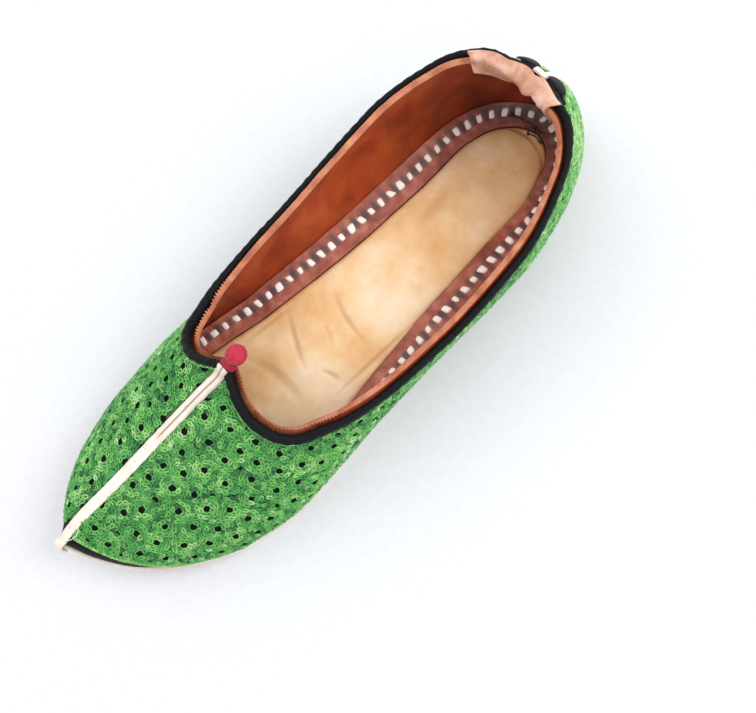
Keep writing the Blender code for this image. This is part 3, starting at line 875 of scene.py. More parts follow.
def make_piece(
    name: str,
    points: Grid,
    faces: Sequence[Sequence[int]],
    finish: Any,
    maps: Optional[Grid] = None,
    numbers: Optional[dict[str, Grid]] = None,
    sharp: float = 60.0,
) -> bpy.types.Object:
    """Make an object that rides on the shoe.

    Args:
        name: the piece's name.
        points: its points, as rows of x, y and z.
        faces: its faces, as point numbers.
        finish: a finish, whose material is made once and shared.
        maps: two coordinates for each point, in metres, for a weave.
        numbers: values for each point that the finish reads by name.
        sharp: angle in degrees past which an edge stays sharp.

    Returns:
        The object.
    """
    points = np.asarray(points, float).reshape(-1, 3)
    mesh = bpy.data.meshes.new(name)
    mesh.from_pydata(points.tolist(), [], [list(map(int, face)) for face in faces])
    if maps is not None:
        corners = np.zeros(len(mesh.loops), int)
        mesh.loops.foreach_get("vertex_index", corners)
        flat = np.asarray(maps, float).reshape(-1, 2)[corners]
        mesh.uv_layers.new(name="cut").data.foreach_set("uv", flat.ravel())
    for key, values in (numbers or {}).items():
        spread = mesh.attributes.new(key, "FLOAT", "POINT")
        spread.data.foreach_set("value", np.asarray(values, np.float32).ravel())
    work = bmesh.new()
    work.from_mesh(mesh)
    bmesh.ops.recalc_face_normals(work, faces=work.faces)
    work.to_mesh(mesh)
    work.free()
    mesh.shade_smooth()
    mesh.set_sharp_from_angle(angle=math.radians(sharp))
    material = bpy.data.materials.get(finish.name) or finish.build()
    mesh.materials.append(material)
    piece = bpy.data.objects.new(name, mesh)
    bpy.context.collection.objects.link(piece)
    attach(piece, "root")
    LOG.info("%s: %d points, %d faces", name, len(mesh.vertices), len(mesh.polygons))
    return piece


def ring_piece(
    name: str, rings: Grid, finish: Any, closed: bool, numbers: Optional[dict[str, Grid]] = None
) -> bpy.types.Object:
    """Make a piece from cross-sections in order.

    Args:
        name: the piece's name.
        rings: one closed cross-section in each row.
        finish: its finish.
        closed: the last cross-section joins the first; otherwise both ends are closed off.
        numbers: values for each point that the finish reads by name.

    Returns:
        The object.
    """
    rows, size = rings.shape[:2]
    faces = grid_faces(rows, size, closed, True).tolist()
    if not closed:
        faces += [list(range(size)), list(range((rows - 1) * size, rows * size))]
    lengthwise = walked(np.swapaxes(rings, 0, 1))[0]
    maps = np.stack([np.broadcast_to(lengthwise[:, None], (rows, size)), walked(rings)], -1)
    return make_piece(name, rings, faces, finish, maps, numbers)


def smooth_run(anchors: Grid, samples: int) -> Grid:
    """A smooth line through anchors, for many lines at once.

    Args:
        anchors: array of shape (lines, anchors, 3).
        samples: points wanted on each line.

    Returns:
        Array of shape (lines, samples, 3).
    """
    count = anchors.shape[1]
    spot = np.linspace(0.0, count - 1, samples)
    i = np.minimum(spot.astype(int), count - 2)
    t = (spot - i)[None, :, None]
    p0, p1 = anchors[:, np.maximum(i - 1, 0)], anchors[:, i]
    p2, p3 = anchors[:, i + 1], anchors[:, np.minimum(i + 2, count - 1)]
    return 0.5 * (
        2 * p1 + (p2 - p0) * t + (2 * p0 - 5 * p1 + 4 * p2 - p3) * t**2 + (3 * p1 - p0 - 3 * p2 + p3) * t**3
    )


def tubes(paths: Grid, radius: Grid, sides: int, closed: bool) -> tuple[Grid, Grid]:
    """Round tubes along many paths of the same number of points.

    Args:
        paths: array of shape (tubes, points, 3).
        radius: one radius, or one for each point of the paths.
        sides: corners of the tube's section.
        closed: each path is a closed loop.

    Returns:
        Points, and quads. Open ends are left to close by a radius near 0.
    """
    count, length = paths.shape[:2]
    if closed:
        way = np.roll(paths, -1, 1) - np.roll(paths, 1, 1)
    else:
        way = np.gradient(paths, axis=1)
    way = unit(way)
    middle = paths.mean(1, keepdims=True)
    normal = unit(np.cross(way[:, :1], middle - paths[:, :1]) + 1e-9)
    normal = np.broadcast_to(normal, way.shape)
    first = unit(np.cross(way, normal))
    second = np.cross(way, first)
    turn = 2 * math.pi * np.arange(sides) / sides
    reach = np.broadcast_to(radius, (count, length))[..., None, None]
    around = first[:, :, None] * np.cos(turn)[:, None] + second[:, :, None] * np.sin(turn)[:, None]
    points = paths[:, :, None] + around * reach
    faces = repeat_faces(grid_faces(length, sides, closed, True), count, length * sides)
    return points.reshape(-1, 3), faces


def thread_piece(
    name: str, paths: Grid, radius: float, sides: int, finish: SpunThread, tone: float
) -> bpy.types.Object:
    """Make a piece from loose threads, paths of shape (threads, points, 3), of one tone."""
    points, faces = tubes(paths, radius, sides, False)
    return make_piece(name, points, faces, finish, numbers={"tone": np.full(len(points), tone)}, sharp=80.0)


@dataclass(frozen=True)
class Crease:
    """A soft trough or ridge laid between two given places.

    Attributes:
        start, end: places, in the two directions of the surface it is laid on.
        depth: how deep it goes; negative for a ridge.
        width: how wide it spreads.
        bow: how far its middle bends aside.
    """

    start: tuple[float, float]
    end: tuple[float, float]
    depth: float
    width: float
    bow: float = 0.0

    def at(self, places: Grid) -> Grid:
        """How deep it is at some places.

        Args:
            places: pairs of coordinates.

        Returns:
            A depth for each.
        """
        start, end = np.array(self.start), np.array(self.end)
        run = end - start
        length = np.linalg.norm(run)
        way = run / length
        side = np.array([-way[1], way[0]])
        t = np.clip(((places - start) @ way) / length, 0.0, 1.0)
        line = start + t[..., None] * run + side * (self.bow * 4.0 * t * (1.0 - t))[..., None]
        away = np.linalg.norm(places - line, axis=-1)
        return self.depth * np.exp(-((away / self.width) ** 2)) * (0.25 + 0.75 * np.sin(math.pi * t))


# ---------------------------------------------------------------- the shoe's pieces


@dataclass
class SoleLayers:
    """Two layers of cream leather with a groove between them and a raw edge."""

    last: Last
    margin: float = 1.2 * MM
    count: int = 300
    # Inwards from the edge, and share of the thickness
    profile: tuple[tuple[float, float], ...] = (
        (0.9, 0.00),
        (0.3, 0.05),
        (0.02, 0.14),
        (0.0, 0.30),
        (0.08, 0.42),
        (0.45, 0.475),
        (0.75, 0.50),
        (0.45, 0.525),
        (0.06, 0.57),
        (0.0, 0.70),
        (0.02, 0.86),
        (0.2, 0.96),
        (0.7, 1.00),
    )

    def build(self) -> None:
        """Build both layers as one body."""
        side, along = self.last.foot_loop(self.count)
        foot = self.last.on(side, along, 0.0)[:, :2]
        run = unit(np.roll(foot, -1, 0) - np.roll(foot, 1, 0))
        outward = np.stack([-run[:, 1], run[:, 0]], -1)
        levels = []
        for back, up in self.profile:
            rough = 0.10 * MM * soft_noise(np.c_[foot, np.full(len(foot), up * 0.004)], 2.4 * MM, 3)
            rough += 0.12 * MM * soft_noise(np.c_[foot, np.full(len(foot), up * 0.02)], 11 * MM, 4)
            plan = foot + outward * (self.margin - back * MM + rough * (0.3 + 0.7 * (up > 0.05)))[:, None]
            z = self.last.tread(plan[:, 1] - self.last.shift[1]) + up * self.last.sole
            levels.append(np.c_[plan, z])
        points = np.stack(levels)
        size = len(foot)
        faces = grid_faces(len(levels), size, False, True).tolist()
        half = size // 2
        for level in (0, len(levels) - 1):
            first = level * size
            faces.append([first, first + 1, first + size - 1])
            for k in range(1, half - 1):
                faces.append([first + k, first + k + 1, first + size - k - 1, first + size - k])
            faces.append([first + half - 1, first + half, first + half + 1])
        groove = np.array([math.exp(-(((up - 0.5) / 0.035) ** 2)) for _, up in self.profile])
        stain_and_shade = np.broadcast_to(groove[:, None], (len(levels), size))
        piece = make_piece("sole_layers", points, faces, SOLE_LEATHER, numbers={"stain_and_shade": stain_and_shade}, sharp=50.0)
        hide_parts("outsole")


@dataclass
class Upper:
    """Black cloth outside and russet leather lining, with the lining's pared edge round the mouth."""

    last: Last
    count: int = 230
    rows: int = 64
    # The lining's folds on the foot's inner side, then on its outer side: along the shoe and up the wall
    inner_folds: tuple[Crease, ...] = (
        Crease((0.106, 0.046), (0.082, 0.016), 0.9 * MM, 4.0 * MM, 2 * MM),
        Crease((0.060, 0.044), (0.075, 0.020), 0.5 * MM, 5.0 * MM, -3 * MM),
        Crease((0.020, 0.036), (-0.030, 0.020), 0.6 * MM, 4.5 * MM, 3 * MM),
        Crease((-0.036, 0.030), (-0.020, 0.012), 0.7 * MM, 3.5 * MM, 2 * MM),
        Crease((0.050, 0.022), (0.015, 0.018), -0.5 * MM, 4.0 * MM),
    )
    outer_folds: tuple[Crease, ...] = (
        Crease((0.104, 0.044), (0.086, 0.016), 0.9 * MM, 4.0 * MM, -2 * MM),
        Crease((0.040, 0.036), (0.058, 0.016), 0.5 * MM, 5.0 * MM, 3 * MM),
        Crease((-0.030, 0.030), (-0.012, 0.014), 0.6 * MM, 4.0 * MM, 2 * MM),
    )

    def __post_init__(self) -> None:
        """Set out the wall."""
        self.wall = Wall(self.last, self.count)
        self.step = self.wall.share_at(Wall.lip + Wall.binding_depth + self.last.gap, self.last.cloth)

    def build_cloth(self) -> None:
        """Build the black cloth that carries the embroidery."""
        down = np.linspace(0.0, 1.0, self.rows)[None]
        u = self.step[:, None] + (1.0 - self.step[:, None]) * down
        outside = self.wall.points(u, 0.0)
        inner = self.wall.points(u[:, ::-4], self.last.cloth)
        piece = ring_piece("ground_cloth", np.concatenate([outside, inner], 1), GROUND_CLOTH, True)
        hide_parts("upper")

    def build_lining(self) -> None:
        """Build the lining with its folds."""
        last, wall = self.last, self.wall
        down = np.linspace(0.02, 1.0, self.rows)
        thickness = last.cloth + last.lining
        face = wall.points(down, thickness)
        across = np.roll(face, -1, 0) - np.roll(face, 1, 0)
        inward = unit(np.cross(np.gradient(face, axis=1), across))
        middle = np.array([0.0, 0.0, 0.02]) - face
        middle[..., 1] = 0.0
        inward *= np.sign((inward * middle).sum(-1, keepdims=True))
        places = face[..., 1:]
        outer = sum(crease.at(places) for crease in self.outer_folds)
        inner = sum(crease.at(places) for crease in self.inner_folds)
        fold = np.where(wall.side[:, None] > 0, outer, inner)
        fold = fold + 0.22 * MM * soft_noise(face, 22 * MM, 11)
        free = np.sin(math.pi * np.clip(down, 0, 1))[None] ** 0.5
        open_mouth = np.clip((face[..., 1] + 0.045) / 0.02, 0.0, 1.0)
        face = face + inward * (np.abs(fold) * free * open_mouth * 0.8)[..., None]
        back = wall.points(down[::-6], last.cloth + 0.05 * MM)
        rings = np.concatenate([face, back], 1)
        # Painted shade: the lining darkens towards the sole and deep into the toe. It also darkens in clouds
        # towards the heel.
        heel = np.clip((rings[..., 1] - 0.062) / 0.06, 0.0, 1.0)
        low = np.clip(1.0 - (rings[..., 2] - 0.008) / 0.026, 0.0, 1.0)
        toe = np.clip((-0.012 - rings[..., 1]) / 0.03, 0.0, 1.0)
        cloud = 0.5 + 0.5 * soft_noise(rings, 18 * MM, 12)
        stain_and_shade = np.clip(0.62 * heel * (0.15 + 0.85 * cloud) + 0.45 * low * cloud + 0.7 * toe, 0.0, 0.85)
        piece = ring_piece("lining", rings, LINING_LEATHER, True, {"stain_and_shade": stain_and_shade})
        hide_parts("upper")

    def build_lip(self) -> None:
        """Build the lining's edge round the mouth, with small pinked teeth round the throat."""
        last = self.last
        wall = Wall(last, 900)
        thickness = last.cloth + last.lining
        rows = wall.share_at(3.4 * MM, thickness)[:, None] * np.linspace(0.0, 1.0, 6)[None]
        throat = np.clip((wall.begin_along[wall.index] - 0.54) / 0.05, 0.0, 1.0)
        roll = 0.15 * MM + (0.20 + 0.55 * (1.0 - throat))[:, None] * MM * np.linspace(1.0, 0.0, 6)[None]
        inner = wall.points(rows, thickness + roll)
        outer = wall.points(rows[:, :3] * 0.75, last.cloth + 0.06 * MM)
        top, up, out = wall.rim_frame()
        run = walked(np.concatenate([top, top[:1]]))[:-1]
        tooth = np.abs((run / (1.25 * MM)) % 1.0 - 0.5) * 2.0
        uneven = 1.0 + 0.5 * soft_noise(top, 3.5 * MM, 22)
        waver = 0.12 * MM * soft_noise(top, 9 * MM, 21)
        inner[:, 0] += up * waver[:, None]
        # The shears cut small teeth, which lie outwards over the binding.
        spread = (0.15 + 0.95 * throat) * MM * tooth * uneven
        outer[:, 0] += up * waver[:, None] + out * spread[:, None]
        outer[:, 1] += out * spread[:, None] * 0.25
        crown = (inner[:, :1] + outer[:, :1]) / 2.0 + up[:, None] * 0.25 * MM
        rings = np.concatenate([crown, inner, outer[:, ::-1]], 1)
        stain_and_shade = np.zeros(rings.shape[:2])
        stain_and_shade[:, 1:7] = (0.0, 0.1, 0.35, 0.65, 0.9, 1.0)
        piece = ring_piece("lip", rings, LIP_LEATHER, True, {"stain_and_shade": stain_and_shade})

    def build(self) -> None:
        """Build cloth, lining and lip."""
        self.build_cloth()
        self.build_lining()
        self.build_lip()


@dataclass
class Binding:
    """Black cotton rolled round the mouth, puckered by the stitches that hold it."""

    last: Last
    count: int = 420
    pucker: float = 4.2 * MM

    def build(self) -> None:
        """Build the roll."""
        wall = Wall(self.last, self.count)
        top, up, out = wall.rim_frame()
        depth = Wall.binding_depth
        begin = wall.begin_along[wall.index]
        sides = np.clip((begin - 0.06) / 0.08, 0.0, 1.0) * np.clip((0.60 - begin) / 0.06, 0.0, 1.0)
        width = Wall.binding_width * (1.0 - 0.22 * sides)[:, None]
        middle = top - up * (Wall.lip + depth / 2.0) + out * (1.6 * self.last.gap + width / 2.0)
        run = walked(np.concatenate([middle, middle[:1]]))[:-1]
        swell = 1.0 + 0.05 * np.cos(2 * math.pi * run / self.pucker) + 0.05 * soft_noise(middle, 14 * MM, 31)
        turn = 2 * math.pi * np.arange(18) / 18
        square = 1.0 / np.maximum(np.abs(np.cos(turn)), np.abs(np.sin(turn))) ** 0.35
        across = np.cos(turn) * square * width / 2.0
        along = np.sin(turn) * square * depth / 2.0
        rings = middle[:, None] + (
            out[:, None] * across[..., None] + up[:, None] * along[None, :, None]
        ) * swell[:, None, None]
        wrinkle = 0.1 * MM * soft_noise(rings, 2.6 * MM, 32, (1.0, 1.0, 0.6))
        rings += (rings - middle[:, None]) / (Wall.binding_width / 2.0) * wrinkle[..., None]
        piece = ring_piece("rolled_binding", rings, ROLLED_CLOTH, True)
        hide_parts("topline_binding")


@dataclass
class InnerBand:
    """Brown welt in the corner between wall and sole, sewn with thick white cotton."""

    last: Last
    width: float = 7.2 * MM
    edge: float = 2.6 * MM
    rise: float = 3.4 * MM
    pitch: float = 5.2 * MM
    count: int = 420
    stitch_wide: float = 1.42 * MM
    stitch_long: float = 1.72 * MM
    sewn_from: float = -45.0 * MM
    end_radius: float = 0.30 * MM
    end_height: tuple[float, float] = (12.2, 14.0)
    # Where the dark thread ends come out at the heel, in mm
    end_places: tuple[tuple[float, float], ...] = (
        (-13.0, 110.5),
        (-10.0, 112.0),
        (-7.5, 112.5),
        (-5.5, 113.0),
        (-3.0, 113.0),
        (0.5, 111.5),
        (2.5, 110.0),
    )

    def __post_init__(self) -> None:
        """Work out the cross-sections and where the stitches go."""
        last = self.last
        side, along = last.foot_loop(self.count)
        squeeze = np.minimum(1.0, 0.30 * last.headroom(along, last.gap) / (self.edge + self.rise))
        edge, rise = self.edge * squeeze, self.rise * squeeze
        foot = last.inside(side, along, last.gap)
        top = last.inside(side, along, 2.0 * last.gap, edge + rise)
        slope = last.inside(side, along, last.gap + self.width * 0.45)
        rim = last.inside(side, along, last.gap + self.width)
        slope[:, 2] += edge + rise * 0.35
        brink = rim.copy()
        brink[:, 2] += edge
        self.face = smooth_run(np.stack([top, slope, brink], 1), 12)
        self.foot, self.rim = foot, rim
        self.middle = self.face[:, 4]
        self.run = walked(np.concatenate([self.middle, self.middle[:1]]))
        total = self.run[-1]
        number = int(round(total / self.pitch))
        self.spots = total * (np.arange(number) + 0.5) / number

    def build_band(self) -> None:
        """Build the leather, smudged between its stitches."""
        gap_to_stitch = np.abs(self.run[:-1, None] - self.spots[None]).min(1) / (self.pitch / 2.0)
        face = self.face.copy()
        face[:, 3:9, 2] -= (0.25 * MM * (1.0 - gap_to_stitch))[:, None]
        rings = np.concatenate([self.foot[:, None], face, self.rim[:, None]], 1)
        rings[:, 1:-1] += (0.08 * MM * soft_noise(rings[:, 1:-1], 6 * MM, 41))[..., None]
        rows = np.linspace(0.0, 1.0, rings.shape[1])
        high = np.exp(-(((rows - 0.36) / 0.16) ** 4))
        grey_between_stitches = 1.15 * np.clip(gap_to_stitch * 3.0 - 1.2, 0.0, 1.0)[:, None] * high[None]
        grey_between_stitches = grey_between_stitches * (0.75 + 0.25 * soft_noise(rings, 9 * MM, 42))
        heel = np.clip((rings[..., 1] - 0.085) / 0.03, 0.0, 1.0)
        # A painted shadow runs along the band's edge where it meets the insole. The band is also darker
        # towards the heel and greyed between the stitches.
        stain_and_shade = np.clip(grey_between_stitches + 0.55 * heel + 0.8 * (rows > 0.97), 0.0, 0.9)
        piece = ring_piece("sewn_band", rings, BAND_LEATHER, True, {"stain_and_shade": stain_and_shade})
        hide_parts("inner_band")

    def build_stitches(self) -> None:
        """Build the white stitches: pads of several strands laid side by side across the band."""
        dice = np.random.default_rng(5)
        at = points_at(self.spots, self.run[:-1], self.middle)
        ahead = points_at(self.spots + 1 * MM, self.run[:-1], self.middle)
        nearest = np.array([int(np.argmin(np.abs(self.run[:-1] - s))) for s in self.spots])
        across = unit(self.face[nearest, 8] - self.face[nearest, 1])
        way = unit(ahead - at)
        up = unit(np.cross(way, across))
        up *= np.sign(up[:, 2:3])
        across = unit(np.cross(up, way))
        keep = np.flatnonzero(at[:, 1] > self.sewn_from)
        ring = np.concatenate([np.linspace(0.0, 0.9, 7), (0.97, 1.0)])[:, None]
        turn = circle(28)[None]
        square = (np.abs(np.cos(turn)) ** 4 + np.abs(np.sin(turn)) ** 4) ** -0.25
        x, y = ring * square * np.cos(turn), ring * square * np.sin(turn)
        dome = np.sqrt(np.maximum(1.0 - (ring + 0.0 * turn) ** 3.5, 0.0))
        points, tones = [], []
        for i in keep:
            wide = self.stitch_wide * dice.uniform(0.72, 1.12)
            long = self.stitch_long * dice.uniform(0.80, 1.10)
            lean, pinch, strands = dice.normal(0.0, 0.16), dice.normal(0.0, 0.12), dice.uniform(2.2, 3.4)
            height = dice.uniform(0.75, 0.95) * MM * dome - 0.25 * MM
            height = height - 0.13 * MM * np.abs(np.sin(strands * math.pi * x)) ** 6 * dome
            side = x * wide * (1.0 + pinch * y) + lean * y * long
            place = at[i] + across[i] * (y * long)[..., None] + way[i] * side[..., None]
            points.append((place + up[i] * height[..., None]).reshape(-1, 3))
            # Each pad is painted darker towards its rim, as shade where it curves down.
            tone = 0.85 + dice.uniform(-0.2, 0.15) - 0.5 * ring**8 + 0.0 * turn
            tones.append(np.clip(tone, 0.0, 1.0).ravel())
        one = grid_faces(len(ring), turn.size, False, True)
        piece = make_piece(
            "band_stitches",
            np.concatenate(points),
            repeat_faces(one, len(keep), x.size),
            WHITE_THREAD,
            numbers={"tone": np.concatenate(tones)},
            sharp=80.0,
        )

    def build_thread_ends(self) -> None:
        """Build the tangle of dark thread at the back of the band."""
        dice = np.random.default_rng(9)
        paths = []
        for x, y in self.end_places:
            for _ in range(2):
                start = np.array([x, y, 12.6])
                steps = dice.normal(0.0, 1.0, (6, 3)) * np.array([1.1, 0.7, 0.35])
                spots = start + np.cumsum(steps, axis=0)
                spots[:, 2] = np.clip(spots[:, 2], *self.end_height)
                spots[:, 1] = np.minimum(spots[:, 1], 113.4 - 0.012 * spots[:, 0] ** 2)
                paths.append(smooth_run(spots[None] * MM, 24)[0])
        piece = thread_piece("thread_ends", np.array(paths), self.end_radius, 5, DARK_THREAD, 0.4)

    def build(self) -> None:
        """Build band, stitches and thread ends."""
        self.build_band()
        self.build_stitches()
        self.build_thread_ends()


@dataclass
class Insole:
    """Tan leather between the band's edges, creased by the foot."""

    last: Last
    thickness: float = 2.2 * MM
    band: float = 7.2 * MM
    rows: int = 400
    columns: int = 108
    # Across the shoe and along it
    creases: tuple[Crease, ...] = (
        Crease((-0.0124, 0.0135), (0.0137, 0.0083), 0.50 * MM, 1.0 * MM, -2.0 * MM),
        Crease((-0.0185, -0.0056), (0.0036, -0.0163), 0.50 * MM, 1.0 * MM, -0.5 * MM),
        Crease((0.0082, -0.0116), (0.0167, -0.0091), 0.50 * MM, 0.9 * MM, 0.5 * MM),
        Crease((-0.0060, 0.0010), (0.0050, -0.0030), 0.28 * MM, 0.9 * MM, 1.0 * MM),
        Crease((0.0194, -0.0157), (0.0195, 0.0251), 0.50 * MM, 0.8 * MM),
        Crease((0.0225, -0.0130), (0.0225, 0.0220), -0.55 * MM, 1.8 * MM),
        Crease((-0.0217, -0.0266), (-0.0187, -0.0024), 0.35 * MM, 1.0 * MM),
        Crease((-0.0180, -0.0300), (0.0160, -0.0260), 0.40 * MM, 2.2 * MM, 3.0 * MM),
        Crease((-0.0138, 0.1069), (0.0043, 0.1087), 0.50 * MM, 0.9 * MM, 2.6 * MM),
        Crease((0.0043, 0.1087), (0.0112, 0.0992), 0.50 * MM, 0.9 * MM, 1.6 * MM),
        Crease((-0.0100, 0.0300), (0.0160, 0.0360), 0.25 * MM, 2.0 * MM, 3.0 * MM),
        Crease((-0.0080, 0.0520), (-0.0120, 0.0780), 0.30 * MM, 3.0 * MM),
        Crease((0.0020, 0.0600), (0.0000, 0.0200), -0.30 * MM, 5.0 * MM),
    )

    def build(self) -> None:
        """Build the insole."""
        last = self.last
        along = last.feet(self.rows)
        depth = 2.0 * last.gap + self.band
        left = last.inside(1.0, along, depth)
        right = last.inside(-1.0, along, depth)
        t = np.linspace(0.0, 1.0, self.columns)[None, :, None]
        top = left[:, None] + (right - left)[:, None] * t
        places = top[..., :2]
        troughs = sum(crease.at(places) for crease in self.creases)
        dip = 0.45 * MM * np.exp(-(((top[..., 1] - 0.085) / 0.03) ** 2) - (top[..., 0] / 0.014) ** 2)
        border = np.minimum(t[..., 0], 1.0 - t[..., 0]) * np.linalg.norm(left - right, axis=-1)[:, None]
        round_off = 0.5 * MM * np.exp(-border / (0.7 * MM))
        relief = troughs + dip + round_off - 0.12 * MM * soft_noise(top, 13 * MM, 51)
        relief = relief - 0.05 * MM * soft_noise(top, 4 * MM, 52, (1.0, 0.6, 1.0))
        top[..., 2] += self.thickness - relief
        low = np.stack([right, (left + right) / 2.0, left], 1)
        rings = np.concatenate([top, low], 1)
        stain_and_shade = np.zeros(rings.shape[:2])
        # Painted shade in the creases and along the edges by the band, wider near the heel. The heel is also
        # darker in clouds.
        near_heel = np.clip((top[..., 1] - 0.075) / 0.03, 0.0, 1.0)
        edge = np.exp(-border / ((1.1 + 2.6 * near_heel) * MM))
        heel = 0.22 * np.clip((top[..., 1] - 0.060) / 0.045, 0.0, 1.0)
        heel = heel * (0.5 + 0.5 * soft_noise(top, 16 * MM, 53))
        stain_and_shade_mask = 0.55 * edge + heel + 1100.0 * np.maximum(troughs - 0.08 * MM, 0.0)
        stain_and_shade[:, : self.columns] = np.clip(stain_and_shade_mask, 0.0, 0.8)
        piece = ring_piece("insole_leather", rings, INSOLE_LEATHER, False, {"stain_and_shade": stain_and_shade})
        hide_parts("insole")


@dataclass
class ToeStrip:
    """Cream leather strip along the ridge, folded over the tip down to the sole."""

    last: Last
    width: float = 4.9 * MM
    thickness: float = 0.9 * MM
    rows: int = 190

    def build(self) -> None:
        """Build the strip and the loose thread at its end."""
        last = self.last
        rim_along, _ = last.rim()
        begin = rim_along[-1] + (Wall.lip + Wall.binding_depth * 0.9) / last.length
        end = 1.0 - 0.45 * self.width / last.length
        along = np.linspace(begin, end, self.rows)[:, None]
        shares = np.linspace(-1.0, 1.0, 15)[None]
        wavy = 1.06 + 0.025 * np.sin(along * 310.0) + 0.015 * np.sin(along * 740.0 + 1.0)
        half = self.width / 2.0 * wavy
        lift = last.lift_at_reach(along, np.abs(shares) * half)
        base = last.on(np.where(shares >= 0.0, 1.0, -1.0), along, lift)
        progress = (along - begin) / (end - begin)
        # Its upper end climbs on to the binding.
        climb = np.clip(1.0 - progress * (end - begin) * last.length / (4.5 * MM), 0.0, 1.0)
        base[..., 2] += last.gap * 0.6 + 3.0 * MM * climb * climb * (3.0 - 2.0 * climb)
        crown = 1.0 - 0.55 * np.abs(shares) ** 3
        seam = np.exp(-(((shares - 0.12) / 0.13) ** 2)) * np.clip((0.42 - progress) / 0.05, 0.0, 1.0)
        skin = self.thickness * crown - 0.35 * MM * seam + 0.05 * MM * soft_noise(base, 3 * MM, 61)
        high = base.copy()
        high[..., 2] += skin
        rings = np.concatenate([base, high[:, ::-1]], 1)
        tip = last.on(1.0, 1.0, 0.0)
        front = tip[1] - 1.2 * MM * 1.25 - last.gap
        spread = rings[-1]
        centre = spread[7]
        thick = np.concatenate([np.zeros(15), np.full(15, self.thickness)])
        crest = spread[:, 2].max() - self.thickness
        foot = last.tread(front - last.shift[1]) + last.sole * 0.3
        # How far round the tip each step of the fold is, how far down, and its angle
        folds = [(math.sin(a), 0.62 * (1.0 - math.cos(a)), a) for a in np.radians(np.linspace(8.0, 90.0, 12))]
        folds += [(1.0, 0.62 + 0.38 * share, math.pi / 2) for share in (0.33, 0.66, 1.0)]
        for turn, drop, angle in folds:
            ring = spread.copy()
            bow = 0.10 * np.abs(spread[:, 0] - centre[0])
            ring[:, 1] = centre[1] + (front - centre[1]) * turn - (thick - bow) * math.sin(angle)
            ring[:, 2] = crest + (foot - crest) * drop + (thick - bow) * math.cos(angle)
            rings = np.concatenate([rings, ring[None]])
        dark = np.zeros(rings.shape[:2])
        dark[: self.rows, 15:] = 0.9 * seam[:, ::-1]
        dice = np.random.default_rng(6)
        for _ in range(9):
            row, column = dice.integers(10, self.rows - 4), dice.integers(18, 27)
            dark[row, column] = 0.8
        # Both edges of the top face are painted darker, as shade.
        dark[: self.rows, (15, 29)] = 0.25
        raw = np.clip((0.30 - progress) / 0.1, 0.0, 1.0)
        dark[: self.rows, 15:20] += 0.30 * raw * np.linspace(1.0, 0.0, 5)[None]
        piece = ring_piece("toe_strip_leather", rings, STRIP_LEATHER, False, {"stain_and_shade": dark})
        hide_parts("toe_strip")
        self.build_loose_thread(rings[self.rows - 22, 22], rings[self.rows - 6, 25])

    def build_loose_thread(self, start: Grid, end: Grid) -> None:
        """Build the loop of white thread that stands off near the tip.

        Args:
            start: where it leaves the strip.
            end: where it goes back.
        """
        middle = (start + end) / 2.0
        bulge = np.array([4.2 * MM, -0.5 * MM, -0.6 * MM])
        leaving = start * 0.7 + middle * 0.3 + bulge * 0.7
        spots = np.stack([start, leaving, middle + bulge, end + bulge * 0.75, end])
        piece = thread_piece("loose_thread", smooth_run(spots[None], 40), 0.13 * MM, 5, WHITE_THREAD, 0.8)


